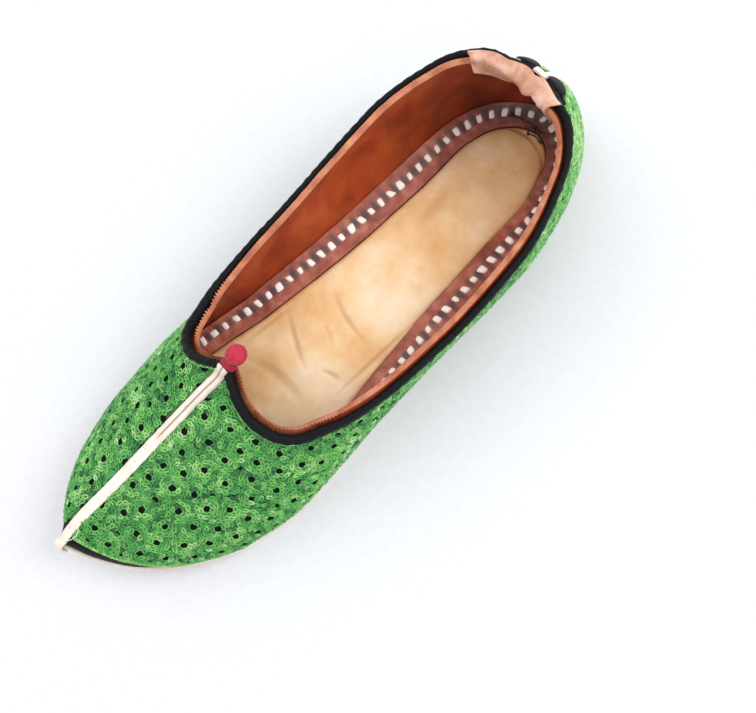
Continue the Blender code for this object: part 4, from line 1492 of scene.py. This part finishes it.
@dataclass
class ThroatKnot:
    """Crimson thread wound into a bead at the throat's peak."""

    last: Last
    strand: float = 0.30 * MM
    turns: int = 34
    strand_points: int = 40
    strand_sides: int = 6
    core_share: float = 0.90
    tie_strand: float = 0.40 * MM
    tie_turns: float = 4.5
    tie_height: float = 4.0 * MM
    tie_reach: tuple[float, float] = (2.55 * MM, 2.15 * MM)
    columns: int = 200

    def build(self) -> None:
        """Build the wound bead and the turns that tie it to the peak."""
        low, high = (np.array(corner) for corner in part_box("throat_knot"))
        centre, radius = (low + high) / 2.0, (high - low) / 2.0
        dice = np.random.default_rng(8)
        angle = circle(self.strand_points)
        paths, tones = [], []
        for i in range(self.turns):
            tilt = math.pi * i / self.turns
            pole = unit(np.array([math.cos(tilt), math.sin(tilt), dice.uniform(-1.1, 1.1)]))
            first = unit(np.cross(pole, [0.0, 0.0, 1.0]))
            second = np.cross(pole, first)
            reach = 0.90 + 0.05 * dice.uniform(-1, 1)
            around = first * np.cos(angle)[:, None] + second * np.sin(angle)[:, None]
            paths.append(centre + around * (radius - self.strand * 0.6) * reach)
            tones.append(dice.uniform(0.40, 0.85))
        points, faces = tubes(np.array(paths), self.strand, self.strand_sides, True)
        tone = np.repeat(tones, self.strand_points * self.strand_sides)
        core_points, core_faces = self.core(centre, radius * self.core_share)
        faces = np.concatenate([faces, core_faces + len(points)])
        points = np.concatenate([points, core_points])
        tone = np.concatenate([tone, np.full(len(core_points), 0.5)])
        piece = make_piece("wound_knot", points, faces, RED_THREAD, numbers={"tone": tone}, sharp=80.0)
        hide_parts("throat_knot")
        self.build_ties()

    def core(self, centre: Grid, radius: Grid) -> tuple[Grid, Grid]:
        """Points and quads of the bead's core.

        Args:
            centre: its middle.
            radius: its three half sizes.

        Returns:
            Points and quads.
        """
        around = circle(20)[None]
        tilt = np.linspace(0.05, math.pi - 0.05, 12)[:, None]
        ball = np.stack(
            [np.sin(tilt) * np.cos(around), np.sin(tilt) * np.sin(around), np.cos(tilt) + 0.0 * around], -1
        )
        return (centre + ball * radius).reshape(-1, 3), grid_faces(12, 20, False, True)

    def build_ties(self) -> None:
        """Build the turns of thread round the binding at the peak."""
        wall = Wall(self.last, self.columns)
        peak, rise, outward = (part[self.columns] for part in wall.rim_frame())
        hold = peak - rise * (Wall.lip + Wall.binding_depth * 0.30) + outward * (Wall.binding_width * 0.48)
        aside = unit(np.cross(rise, outward))
        t = np.linspace(0.0, 1.0, 110)
        spin = 2 * math.pi * self.tie_turns * t
        line = (
            hold
            + rise * ((t - 0.5) * self.tie_height)[:, None]
            + aside * (np.cos(spin) * self.tie_reach[0])[:, None]
            + outward * (np.sin(spin) * self.tie_reach[1])[:, None]
        )
        piece = thread_piece("knot_ties", line[None], self.tie_strand, 6, RED_THREAD, 0.45)


@dataclass
class HeelFlap:
    """Pink-tan leather folded over the back of the mouth, wrinkled, with a notched corner."""

    last: Last
    outer_reach: float = 11.5 * MM
    inner_reach: float = 24.0 * MM
    inside: float = 8.5 * MM
    stand_off: float = 2.8 * MM
    thickness: float = 0.9 * MM
    columns: int = 900
    samples: int = 34
    # Along the rim from the back's middle, and over the fold from the inside
    folds: tuple[Crease, ...] = (
        Crease((-0.021, 0.001), (-0.015, 0.012), -0.40 * MM, 1.3 * MM, 1 * MM),
        Crease((-0.014, 0.002), (-0.008, 0.013), 0.35 * MM, 1.2 * MM, -1 * MM),
        Crease((-0.006, 0.000), (-0.001, 0.012), -0.35 * MM, 1.4 * MM, 1 * MM),
        Crease((0.003, 0.002), (0.005, 0.014), 0.40 * MM, 1.1 * MM, 1 * MM),
        Crease((0.0095, 0.000), (0.0105, 0.016), 0.50 * MM, 0.9 * MM),
        Crease((0.0135, 0.001), (0.013, 0.012), -0.35 * MM, 1.2 * MM),
        Crease((-0.020, 0.014), (0.014, 0.0135), -0.25 * MM, 1.6 * MM, 0.6 * MM),
    )

    def build(self) -> None:
        """Build the flap."""
        last = self.last
        whole = Wall(last, self.columns)
        edge = walked(whole.points([0.0], 0.0)[: self.columns // 2, 0])
        final = [int(np.searchsorted(edge, reach)) for reach in (self.inner_reach, self.outer_reach)]
        wall = Wall(last, self.columns, max(final))
        trim = slice(max(final) - final[0], max(final) + final[1])
        top, up, out = (part[trim] for part in wall.rim_frame())
        lining = last.cloth + last.lining
        gap, width, depth = last.gap, Wall.binding_width, Wall.binding_depth
        column = np.arange(len(top))
        across = (column - final[0]) / np.where(column < final[0], final[0], final[1])
        hang = 1.0 + 0.12 * (across > 0.5) - 0.65 * np.clip((-across - 0.35) / 0.65, 0.0, 1.0)
        under = []
        for share in (1.0, 0.66, 0.33):
            u = np.zeros(len(wall.index))
            u[trim] = self.inside * share * hang
            u = wall.share_at(u, lining)[:, None]
            under.append(wall.points(u, lining)[trim, 0] - out * (gap + self.stand_off * share))
        under.append(wall.points([0.0], lining)[trim, 0] - out * gap)
        under.append(top + up * (gap + 0.5 * MM) - out * last.lining * 0.4)
        span = gap * 2.0 + width
        # Its outer edge hugs the binding at the back and gives it free towards the inner side.
        held = (1.0 - 0.6 * np.clip((-across - 0.25) / 0.6, 0.0, 1.0))[:, None]
        hug = np.exp(-(((across - 0.15) / 0.35) ** 2))[:, None]
        under.append(top - up * (Wall.lip * 0.3) + out * (span * 0.55 * held))
        fall = Wall.lip + depth * (0.05 + 0.25 * hug)
        under.append(top - up * fall + out * (span * (0.98 + 0.14 * hug) * held))
        low = smooth_run(np.stack(under, 1), self.samples)
        run = np.gradient(low, axis=1)
        sideways = np.gradient(low, axis=0)
        normal = unit(np.cross(run, sideways))
        away = low - (top - up * (Wall.lip + depth * 0.5) + out * width * 0.3)[:, None]
        normal *= np.sign((normal * away).sum(-1, keepdims=True))
        length = np.where(across < 0.0, self.inner_reach, self.outer_reach) * across
        spots = np.stack([np.broadcast_to(length[:, None], low.shape[:2]), walked(low)], -1)
        relief = sum(fold.at(spots) for fold in self.folds)
        body = self.thickness + 0.25 * MM - relief + 0.10 * MM * soft_noise(low, 3.2 * MM, 71)
        body = body + 0.25 * MM * (across[:, None] > 0.72)
        high = low + normal * body[..., None]
        rings = np.concatenate([low, high[:, ::-1]], 1)
        stain_and_shade = np.zeros(rings.shape[:2])
        # Painted shade in the troughs of the wrinkles.
        stain_and_shade[:, self.samples :] = np.clip(relief[:, ::-1] / MM * 0.8, 0.0, 0.6)
        stain_and_shade[:, (0, 2 * self.samples - 1)] = 0.5
        piece = ring_piece("folded_heel_flap", rings, FLAP_LEATHER, False, {"stain_and_shade": stain_and_shade})
        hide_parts("heel_flap")


@dataclass
class BackStrip:
    """Cream strip from the flap over the binding and down the heel, between two black cloth ovals."""

    last: Last
    width: float = 5.2 * MM
    thickness: float = 0.9 * MM
    rows: int = 80
    columns: int = 300
    oval_rise: float = 4.4 * MM
    oval_below: float = 3.6 * MM
    # Half an oval's width, and how far its middle is from the strip's edge
    ovals: tuple[tuple[Side, float, float], ...] = (
        (Side.OUTER, 2.9 * MM, 1.0 * MM),
        (Side.INNER, 3.4 * MM, 2.6 * MM),
    )
    # Out of the cloth and up from the binding's foot, in shares of its width and depth: the under face's
    # two, then the outer face's two
    over_binding: tuple[tuple[float, ...], ...] = (
        (1.34, 0.42, 1.60, 0.42),
        (1.34, 0.14, 1.60, 0.11),
        (1.23, -0.19, 1.50, -0.37),
        (0.65, -0.31, 0.85, -0.59),
    )

    def build(self) -> None:
        """Build the strip and the ovals."""
        last = self.last
        wall = Wall(last, self.columns)
        top, up, out = (part[0] for part in wall.rim_frame())
        width, depth = Wall.binding_width, Wall.binding_depth
        step = wall.share_at(Wall.lip + depth * 1.75, 0.0)[0]
        rim_lift = wall.begin_lift[0] * (1.0 - step)
        shares = np.linspace(-1.0, 1.0, 13)
        aside = np.stack([shares * self.width / 2.0, -0.2 * MM * shares**2, 0.0 * shares], -1)
        fine = np.linspace(0.0, 0.03, 400)
        wide = last.value("outer", fine) * last.ball
        lift = rim_lift * (1.0 - np.linspace(0.0, 1.0, self.rows))[:, None]
        wavy = 1.0 + 0.04 * np.sin(lift * 31.0)
        along = np.interp(np.abs(shares)[None] * wavy * self.width / 2.0, wide, fine)
        side = np.where(shares >= 0.0, 1.0, -1.0)[None]
        low = last.on(side, along, lift, -last.gap)
        rise = self.thickness * (1.0 - 0.5 * np.abs(shares)[None] ** 3)
        high = last.on(side, along, lift, -last.gap - rise)
        faces = []
        for first, body in ((0, low), (2, high)):
            spots = np.array([place[first : first + 2] for place in self.over_binding])
            line = top - up * (Wall.lip + depth * (1.0 - spots[:, 1:])) + out * width * spots[:, :1]
            upper = line[:, None] + aside[None]
            joined = np.concatenate([upper, body[:1]])
            rounded = np.swapaxes(smooth_run(np.swapaxes(joined, 0, 1), 21), 0, 1)[:-1]
            faces.append(np.concatenate([rounded, body]))
        rings = np.concatenate([faces[0], faces[1][:, ::-1]], 1)
        rings[:, :, 1] += 0.04 * MM * soft_noise(rings, 3 * MM, 81)
        stain_and_shade = np.zeros(rings.shape[:2])
        # Both edges of the top face are painted darker, as shade.
        stain_and_shade[:, (13, 25)] = 0.3
        piece = ring_piece("back_strip_leather", rings, STRIP_LEATHER, False, {"stain_and_shade": stain_and_shade})
        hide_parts("back_strip")
        for side_of, half, beside in self.ovals:
            self.build_oval(wall, side_of, half, beside)

    def build_oval(self, wall: Wall, side: Side, half: float, beside: float) -> None:
        """Build one puffed oval of black cloth beside the strip, under the binding.

        Args:
            wall: the wall's columns.
            side: the side of the foot.
            half: half its width.
            beside: how far its middle is from the strip's edge.
        """
        top, up, out = wall.rim_frame()
        if side is Side.INNER:
            mine = np.concatenate([[0], np.flatnonzero(wall.side == side.value)[::-1]])
        else:
            mine = np.arange(wall.count)
        run = walked(top[mine])
        ring = np.linspace(0.0, 1.0, 9)[:, None]
        turn = circle(36)[None]
        x, z = ring * np.cos(turn) * half, ring * np.sin(turn) * self.oval_rise
        spot = np.maximum(self.width / 2.0 + beside + x, 0.0)
        frames = [points_at(spot, run, part[mine]) for part in (top, up, out)]
        puff = 1.3 * MM * np.sqrt(np.maximum(1.0 - (ring + 0.0 * turn) ** 2.5, 0.0)) - 0.3 * MM
        below = self.oval_below - z
        lean = (Wall.binding_width + 2.0 * self.last.gap) * np.exp(-np.maximum(below, 0.0) / (9.0 * MM))
        rise = Wall.lip + Wall.binding_depth + below
        points = frames[0] - frames[1] * rise[..., None] + frames[2] * (lean + puff)[..., None]
        piece = make_piece(
            f"back_oval_{side.name.lower()}",
            points,
            grid_faces(ring.size, turn.size, False, True),
            ROLLED_CLOTH,
            maps=np.stack([x, z], -1),
        )


# ---------------------------------------------------------------- embroidery


class Skin:
    """The cloth's outside as a surface that stitches lie on."""

    def __init__(self, last: Last) -> None:
        """Sample the surface.

        Args:
            last: the form.
        """
        self.wall = Wall(last, 260)
        down = np.linspace(0.0, 1.0, 72)
        start = self.wall.share_at(Wall.lip + Wall.binding_depth, 0.0)[:, None]
        points = self.wall.points(start + (1.0 - start) * down[None], 0.0)
        rows, size = points.shape[:2]
        flat = points.reshape(-1, 3)
        faces = grid_faces(rows, size, True, False).tolist()
        self.tree = BVHTree.FromPolygons([tuple(point) for point in flat], faces)
        _, outward, _, _ = self.tree.find_nearest(Vector(points[rows // 4, size // 2]))
        self.flip = 1.0 if outward.x > 0.0 else -1.0

    def drop(self, spots: Grid) -> tuple[Grid, Grid]:
        """Drop spots on the surface.

        Args:
            spots: points near it.

        Returns:
            The nearest points on it, and the outward normals there.
        """
        places, normals = np.zeros_like(spots), np.zeros_like(spots)
        for i, spot in enumerate(spots):
            place, normal, _, _ = self.tree.find_nearest(Vector(spot))
            places[i], normals[i] = place, normal * self.flip
        return places, normals


def distance_to(spots: Grid, line: Grid) -> Grid:
    """Distance of spots from a line given by points close together."""
    return np.linalg.norm(spots[:, None] - line[None], axis=-1).min(1)


@dataclass
class Embroidery:
    """Chain-stitch rosettes with rows of chain stitch along the mouth and the sole."""

    last: Last
    skin: Skin
    pitch: float = 8.3 * MM
    thread: float = 0.32 * MM
    margin: float = 1.7 * MM
    toe_margin: float = 8.0 * MM
    stitch: float = 1.45 * MM
    strip_half: float = 2.5 * MM
    # The embroidery stops short of the black ovals by the heel: how far from the back, how far down, and
    # the room it leaves round them
    oval_place: float = 6.1 * MM
    oval_below: float = 3.6 * MM
    oval_room: float = 3.4 * MM
    # Radius of each ring of stitches, and how many stitches it has
    rings: tuple[tuple[float, int], ...] = ((2.05 * MM, 7), (3.65 * MM, 12))
    # Radius and height of each circle of the mat under them, and how many points a circle has
    mat_circles: tuple[tuple[float, float], ...] = (
        (1.40 * MM, 0.12 * MM),
        (2.9 * MM, 0.26 * MM),
        (5.5 * MM, 0.13 * MM),
    )
    mat_points: int = 18
    dust_count: int = 15000
    seed: int = 4

    def __post_init__(self) -> None:
        """Work out the lines that bound the rosettes."""
        wall = self.skin.wall
        foot = wall.foot[wall.index]
        near_toe = np.clip((foot - 0.84) / 0.16, 0.0, 1.0)
        hem = self.margin + self.toe_margin * near_toe**1.8
        binding = Wall.lip + Wall.binding_depth
        self.low_line = self.line(hem + 0.7 * MM, True)
        self.low_second = self.line(hem + 1.9 * MM, True)
        self.high_line = self.line(binding + 0.8 * MM, False)
        self.bounds = (
            wall.share_at(binding + 1.5 * MM, 0.0),
            np.maximum(wall.share_at(hem + 2.7 * MM, 0.0, True), 0.0),
        )
        self.ridge = self.last.on(1.0, np.linspace(0.60, 1.0, 300), 1.0)
        self.back = self.last.on(1.0, 0.0, wall.begin_lift[0] * np.linspace(0.0, 1.0, 60))
        middle = self.line(binding + self.oval_below, False)
        near_back = np.abs(np.abs(middle[:, 0] - self.back[0, 0]) - self.oval_place) < 2.0 * MM
        self.ovals = middle[near_back & (middle[:, 1] > 0.08)]

    def line(self, distance: Grid, from_foot: bool) -> Grid:
        """Points round the wall, a distance from the rim or from the sole's edge, one in each column."""
        wall = self.skin.wall
        return wall.points(wall.share_at(distance, 0.0, from_foot)[:, None], 0.0)[:, 0]

    def clear_of_strips(self, spots: Grid, room: float) -> Grid:
        """Whether spots lie beside the strips over the toe and down the heel.

        Args:
            spots: points on the cloth.
            room: how far beyond a strip's edge they have to be.

        Returns:
            A truth value for each.
        """
        far = distance_to(spots, self.ridge) > self.strip_half + room
        far &= distance_to(spots, self.back) > self.strip_half + room
        return far & (distance_to(spots, self.ovals) > self.oval_room + room)

    def set_out(self) -> Grid:
        """Set out the rosettes as evenly as the cloth allows, as a printed guide would.

        Returns:
            The middle of each rosette.
        """
        dice = np.random.default_rng(self.seed)
        high, low = self.bounds
        share = np.linspace(0.0, 1.0, 41)[None]
        room = np.maximum(low - high, 0.0)[:, None]
        cloth = self.skin.wall.points(high[:, None] + room * share, 0.0)
        ahead = np.roll(cloth, -1, 0)
        patches = np.linalg.norm(
            np.cross(ahead[:, 1:] - cloth[:, :-1], cloth[:, 1:] - ahead[:, :-1]), axis=-1
        ) / 2.0
        weight = patches.ravel() / patches.sum()
        pick = dice.choice(weight.size, self.dust_count, p=weight)
        i, j = pick // 40, pick % 40
        a, b = dice.random((2, len(pick), 1))
        n = (i + 1) % len(cloth)
        top = cloth[i, j] * (1 - a) + cloth[n, j] * a
        bottom = cloth[i, j + 1] * (1 - a) + cloth[n, j + 1] * a
        dust = top * (1 - b) + bottom * b
        count = int(round(patches.sum() / (self.pitch**2 * math.sqrt(3.0) / 2.0)))
        # Each rosette starts as far as it can from those before it. Then all move to the middle of the
        # cloth that is nearest to them, until they have about the same room.
        chosen, free = [0], np.full(len(dust), np.inf)
        for _ in range(count - 1):
            free = np.minimum(free, ((dust - dust[chosen[-1]]) ** 2).sum(1))
            chosen.append(int(free.argmax()))
        centres = dust[chosen]
        for _ in range(40):
            away = (dust**2).sum(1)[:, None] - 2.0 * dust @ centres.T + (centres**2).sum(1)[None]
            nearest = away.argmin(1)
            total = np.bincount(nearest, minlength=count)
            middle = np.stack([np.bincount(nearest, dust[:, k], count) for k in range(3)], -1)
            centres = np.where(total[:, None] > 0, middle / np.maximum(total, 1)[:, None], centres)
        self.dust = dust
        return self.skin.drop(centres)[0]

    def loop_shape(self) -> tuple[Grid, Grid]:
        """One chain stitch: a drop-shaped loop that starts inside the one before.

        Returns:
            Points and quads, lying along X with +Z up.
        """
        outline = np.array(
            [
                (-0.25, 0.00, 0.66),
                (0.30, 0.36, 0.52),
                (0.90, 0.52, 0.42),
                (1.50, 0.38, 0.32),
                (1.75, 0.00, 0.24),
                (1.50, -0.38, 0.32),
                (0.90, -0.52, 0.42),
                (0.30, -0.36, 0.52),
            ]
        )
        path = outline * MM - np.array([0.75 * MM, 0.0, 0.0])
        return tubes(path[None], self.thread, 4, True)

    def lay(self, name: str, spots: Grid, ways: Grid, tones: Grid, sizes: Grid) -> None:
        """Lay chain stitches on the cloth as one piece.

        Args:
            name: the piece's name.
            spots: the middle of each stitch.
            ways: the way that each points.
            tones: 0 to 1 through the thread's shades.
            sizes: scale of each.
        """
        at, normal = self.skin.drop(spots)
        way = unit(ways - normal * (ways * normal).sum(-1, keepdims=True))
        aside = np.cross(normal, way)
        shape, quads = self.loop_shape()
        grown = shape[None] * sizes[:, None, None]
        points = (
            at[:, None]
            + way[:, None] * grown[..., :1]
            + aside[:, None] * grown[..., 1:2]
            + normal[:, None] * grown[..., 2:]
        )
        faces = repeat_faces(quads, len(at), len(shape))
        tone = np.repeat(tones, len(shape))
        piece = make_piece(name, points, faces, GREEN_THREAD, numbers={"tone": tone}, sharp=120.0)

    def rosettes(self) -> None:
        """Build the rosettes, two rings of stitches each, in four pieces."""
        dice = np.random.default_rng(self.seed + 1)
        at, normal = self.skin.drop(self.set_out())
        LOG.info("%d rosettes", len(at))
        spots, ways, tones, sizes, homes = [], [], [], [], []
        mats, mat_tones = [], []
        turn = circle(self.mat_points)
        for i, (middle, up) in enumerate(zip(at, normal)):
            first = unit(np.cross(up, dice.normal(size=3)))
            second = np.cross(up, first)
            # Rosettes are painted paler towards the heel, as light.
            heel = max(0.0, (middle[1] - 0.085) / 0.035)
            base = dice.uniform(0.40, 0.62) + 0.30 * min(heel, 1.0)
            spin = dice.choice((-1.0, 1.0))
            scale = dice.uniform(0.95, 1.05)
            for radius, count in self.rings:
                phase = dice.uniform(0.0, 2 * math.pi)
                for j in range(count):
                    angle = phase + 2 * math.pi * j / count + dice.normal(0.0, 0.06)
                    reach = radius * scale * (1.0 + dice.normal(0.0, 0.05))
                    out = first * math.cos(angle) + second * math.sin(angle)
                    spots.append(middle + out * reach)
                    ways.append(np.cross(up, out) * spin + out * dice.normal(0.0, 0.16))
                    tones.append(base + dice.normal(0.0, 0.16))
                    sizes.append(dice.uniform(1.05, 1.25))
                    homes.append(i)
            arms = first * np.cos(turn)[:, None] + second * np.sin(turn)[:, None]
            for radius, _ in self.mat_circles:
                uneven = 1.0 + dice.normal(0.0, 0.04, (self.mat_points, 1))
                mats.append(middle + arms * (radius * scale * uneven))
            # The mats under the loops are painted darker, as shade under the loops.
            mat_tones.append(base - 0.30)
        spots, ways = np.array(spots), np.array(ways)
        tones, sizes = np.clip(tones, 0.02, 1.0), np.array(sizes)
        home = at[np.array(homes)]
        clear = self.clear_of_strips(spots, 0.55 * MM) & (distance_to(spots, self.high_line) > 0.7 * MM)
        self.fill(at)
        split = np.median(at[:, 1])
        for side in Side:
            for part, here in (("toe", home[:, 1] <= split), ("heel", home[:, 1] > split)):
                pick = clear & here & ((home[:, 0] - self.ridge_x(home[:, 1])) * side.value > 0.0)
                if pick.any():
                    name = f"rosettes_{side.name.lower()}_{part}"
                    self.lay(name, spots[pick], ways[pick], tones[pick], sizes[pick])
        self.mats(np.array(mats).reshape(-1, 3), np.array(mat_tones))

    def fill(self, centres: Grid) -> None:
        """Fill the room left between the rosettes with single stitches.

        Args:
            centres: the middle of each rosette.
        """
        dice = np.random.default_rng(self.seed + 3)
        away = np.sqrt(((self.dust[:, None] - centres[None]) ** 2).sum(-1)).min(1)
        bare = self.dust[away > 4.35 * MM]
        bare = bare[dice.permutation(len(bare))]
        kept: list[Grid] = []
        for spot in bare:
            if not kept or np.min(np.linalg.norm(np.array(kept) - spot, axis=1)) > 1.15 * MM:
                kept.append(spot)
        spots = np.array(kept)
        spots = spots[self.clear_of_strips(spots, 0.55 * MM)]
        tones = np.clip(0.42 + dice.normal(0.0, 0.15, len(spots)), 0.0, 1.0)
        aims = dice.normal(size=spots.shape)
        self.lay("rosette_fill", spots, aims, tones, dice.uniform(0.85, 1.1, len(spots)))

    def mats(self, spots: Grid, tones: Grid) -> None:
        """Build the threads that fill each rosette under its loops, as thin mats round its hole.

        Args:
            spots: the circles' points, rosette by rosette.
            tones: a tone for each rosette.
        """
        at, normal = self.skin.drop(spots)
        heights = np.tile(np.repeat([height for _, height in self.mat_circles], self.mat_points), len(tones))
        points = at + normal * (heights + 0.05 * MM * soft_noise(at, 1.3 * MM, 91))[:, None]
        one = grid_faces(len(self.mat_circles), self.mat_points, False, True)
        size = len(self.mat_circles) * self.mat_points
        faces = repeat_faces(one, len(tones), size)
        corner = at[faces]
        faces = faces[self.clear_of_strips(corner.mean(1), -0.3 * MM)]
        tone = np.repeat(np.clip(tones, 0.0, 1.0), size)
        piece = make_piece("rosette_mats", points, faces, GREEN_THREAD, numbers={"tone": tone}, sharp=180.0)

    def ridge_x(self, y: Grid) -> Grid:
        """X of the line that parts the shoe's two sides at Y."""
        return np.interp(y, self.ridge[::-1, 1], self.ridge[::-1, 0])

    def rows(self) -> None:
        """Build the rows of chain stitch along the sole's edge and the binding."""
        dice = np.random.default_rng(self.seed + 2)
        for name, line, tone in (
            ("chain_low", self.low_line, 0.66),
            ("chain_low_second", self.low_second, 0.50),
            ("chain_mouth", self.high_line, 0.66),
        ):
            closed = np.concatenate([line, line[:1]])
            run = walked(closed)
            count = int(run[-1] / self.stitch)
            places = run[-1] * np.arange(count) / count
            spots = points_at(places, run, closed)
            ways = unit(np.roll(spots, -1, 0) - np.roll(spots, 1, 0))
            clear = self.clear_of_strips(spots, 0.5 * MM)
            tones = np.clip(tone + dice.normal(0.0, 0.13, len(spots)), 0.0, 1.0)
            self.lay(name, spots[clear], ways[clear], tones[clear], dice.uniform(0.92, 1.05, clear.sum()))

    def build(self) -> None:
        """Build all the embroidery."""
        self.rosettes()
        self.rows()


# ---------------------------------------------------------------- the studio


@dataclass
class Studio:
    """Pale floor, soft light and the camera at the photograph's angle."""

    azimuth: float = 77.1
    elevation: float = 76.4
    roll: float = -30.4
    distance: float = 0.333
    target: tuple[float, float, float] = (0.0224, 0.0069, 0.020)
    lens: float = 43.1
    floor_reach: float = 1.6
    # Place, size and power of each lamp
    lamps: tuple[tuple[str, tuple[float, float, float], float, float], ...] = (
        ("window", (0.5, 0.7, 0.9), 0.7, 7.0),
        ("fill", (-0.8, -0.3, 0.9), 0.9, 3.0),
        ("ceiling", (0.05, -0.25, 1.3), 0.8, 2.2),
    )

    def build_floor(self) -> None:
        """Build the floor: matt white paper."""
        mesh = bpy.data.meshes.new("floor")
        reach = self.floor_reach
        corners = [(-reach, -reach, 0), (reach, -reach, 0), (reach, reach, 0), (-reach, reach, 0)]
        mesh.from_pydata(corners, [], [(0, 1, 2, 3)])
        material, shader = start_material("matt white paper")
        tree = material.node_tree
        place = add_node(tree, "ShaderNodeTexCoord").outputs["Object"]
        fibre = add_noise(tree, place, 3 * MM, 3.0)
        colour = add_node(
            tree,
            "ShaderNodeValToRGB",
            {"Fac": fibre.outputs["Fac"]},
            stops=((0.3, "#dcdce0"), (0.7, "#e0e0e4")),
        )
        tree.links.new(colour.outputs["Color"], shader.inputs["Base Color"])
        shader.inputs["Roughness"].default_value = 0.9
        mesh.materials.append(material)
        floor = bpy.data.objects.new("floor", mesh)
        bpy.context.collection.objects.link(floor)

    def build_lights(self) -> None:
        """Build the soft light: a bright room and three large lamps."""
        world = bpy.data.worlds.new("white room")
        world.use_nodes = True
        sky = world.node_tree.nodes["Background"]
        sky.inputs["Color"].default_value = (0.95, 0.97, 1.0, 1.0)
        sky.inputs["Strength"].default_value = 0.93
        bpy.context.scene.world = world
        for name, place, size, power in self.lamps:
            lamp = bpy.data.lights.new(name, "AREA")
            lamp.size = size
            lamp.energy = power
            holder = bpy.data.objects.new(name, lamp)
            holder.location = place
            holder.rotation_mode = "QUATERNION"
            holder.rotation_quaternion = (-Vector(place)).to_track_quat("-Z", "Y")
            bpy.context.collection.objects.link(holder)

    def build_camera(self) -> None:
        """Build the camera, rolled as the photograph was."""
        turn, rise = math.radians(self.azimuth), math.radians(self.elevation)
        back = Vector((math.sin(turn) * math.cos(rise), -math.cos(turn) * math.cos(rise), math.sin(rise)))
        across = Vector((0.0, 0.0, 1.0)).cross(back).normalized()
        up = back.cross(across)
        roll = math.radians(self.roll)
        right = across * math.cos(roll) + up * math.sin(roll)
        above = up * math.cos(roll) - across * math.sin(roll)
        camera = bpy.data.cameras.new("camera")
        camera.lens, camera.sensor_width = self.lens, 36.0
        camera.clip_start, camera.clip_end = 0.01, 10.0
        holder = bpy.data.objects.new("camera", camera)
        pose = Matrix((right, above, back)).transposed().to_4x4()
        pose.translation = Vector(self.target) + back * self.distance
        holder.matrix_world = pose
        bpy.context.collection.objects.link(holder)
        bpy.context.scene.camera = holder

    def build(self) -> None:
        """Build the studio."""
        bpy.context.scene.view_settings.view_transform = "Standard"
        self.build_floor()
        self.build_lights()
        self.build_camera()


def main() -> None:
    logging.basicConfig(level=logging.INFO, format="%(name)s: %(message)s")
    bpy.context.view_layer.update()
    Studio().build()
    last = Last()
    LOG.info("shift %s mm", np.round(last.shift / MM, 3))
    skin = Skin(last)
    SoleLayers(last).build()
    Upper(last).build()
    Binding(last).build()
    InnerBand(last).build()
    Insole(last).build()
    ToeStrip(last).build()
    ThroatKnot(last).build()
    HeelFlap(last).build()
    BackStrip(last).build()
    Embroidery(last, skin).build()


if __name__ == "__main__":
    main()
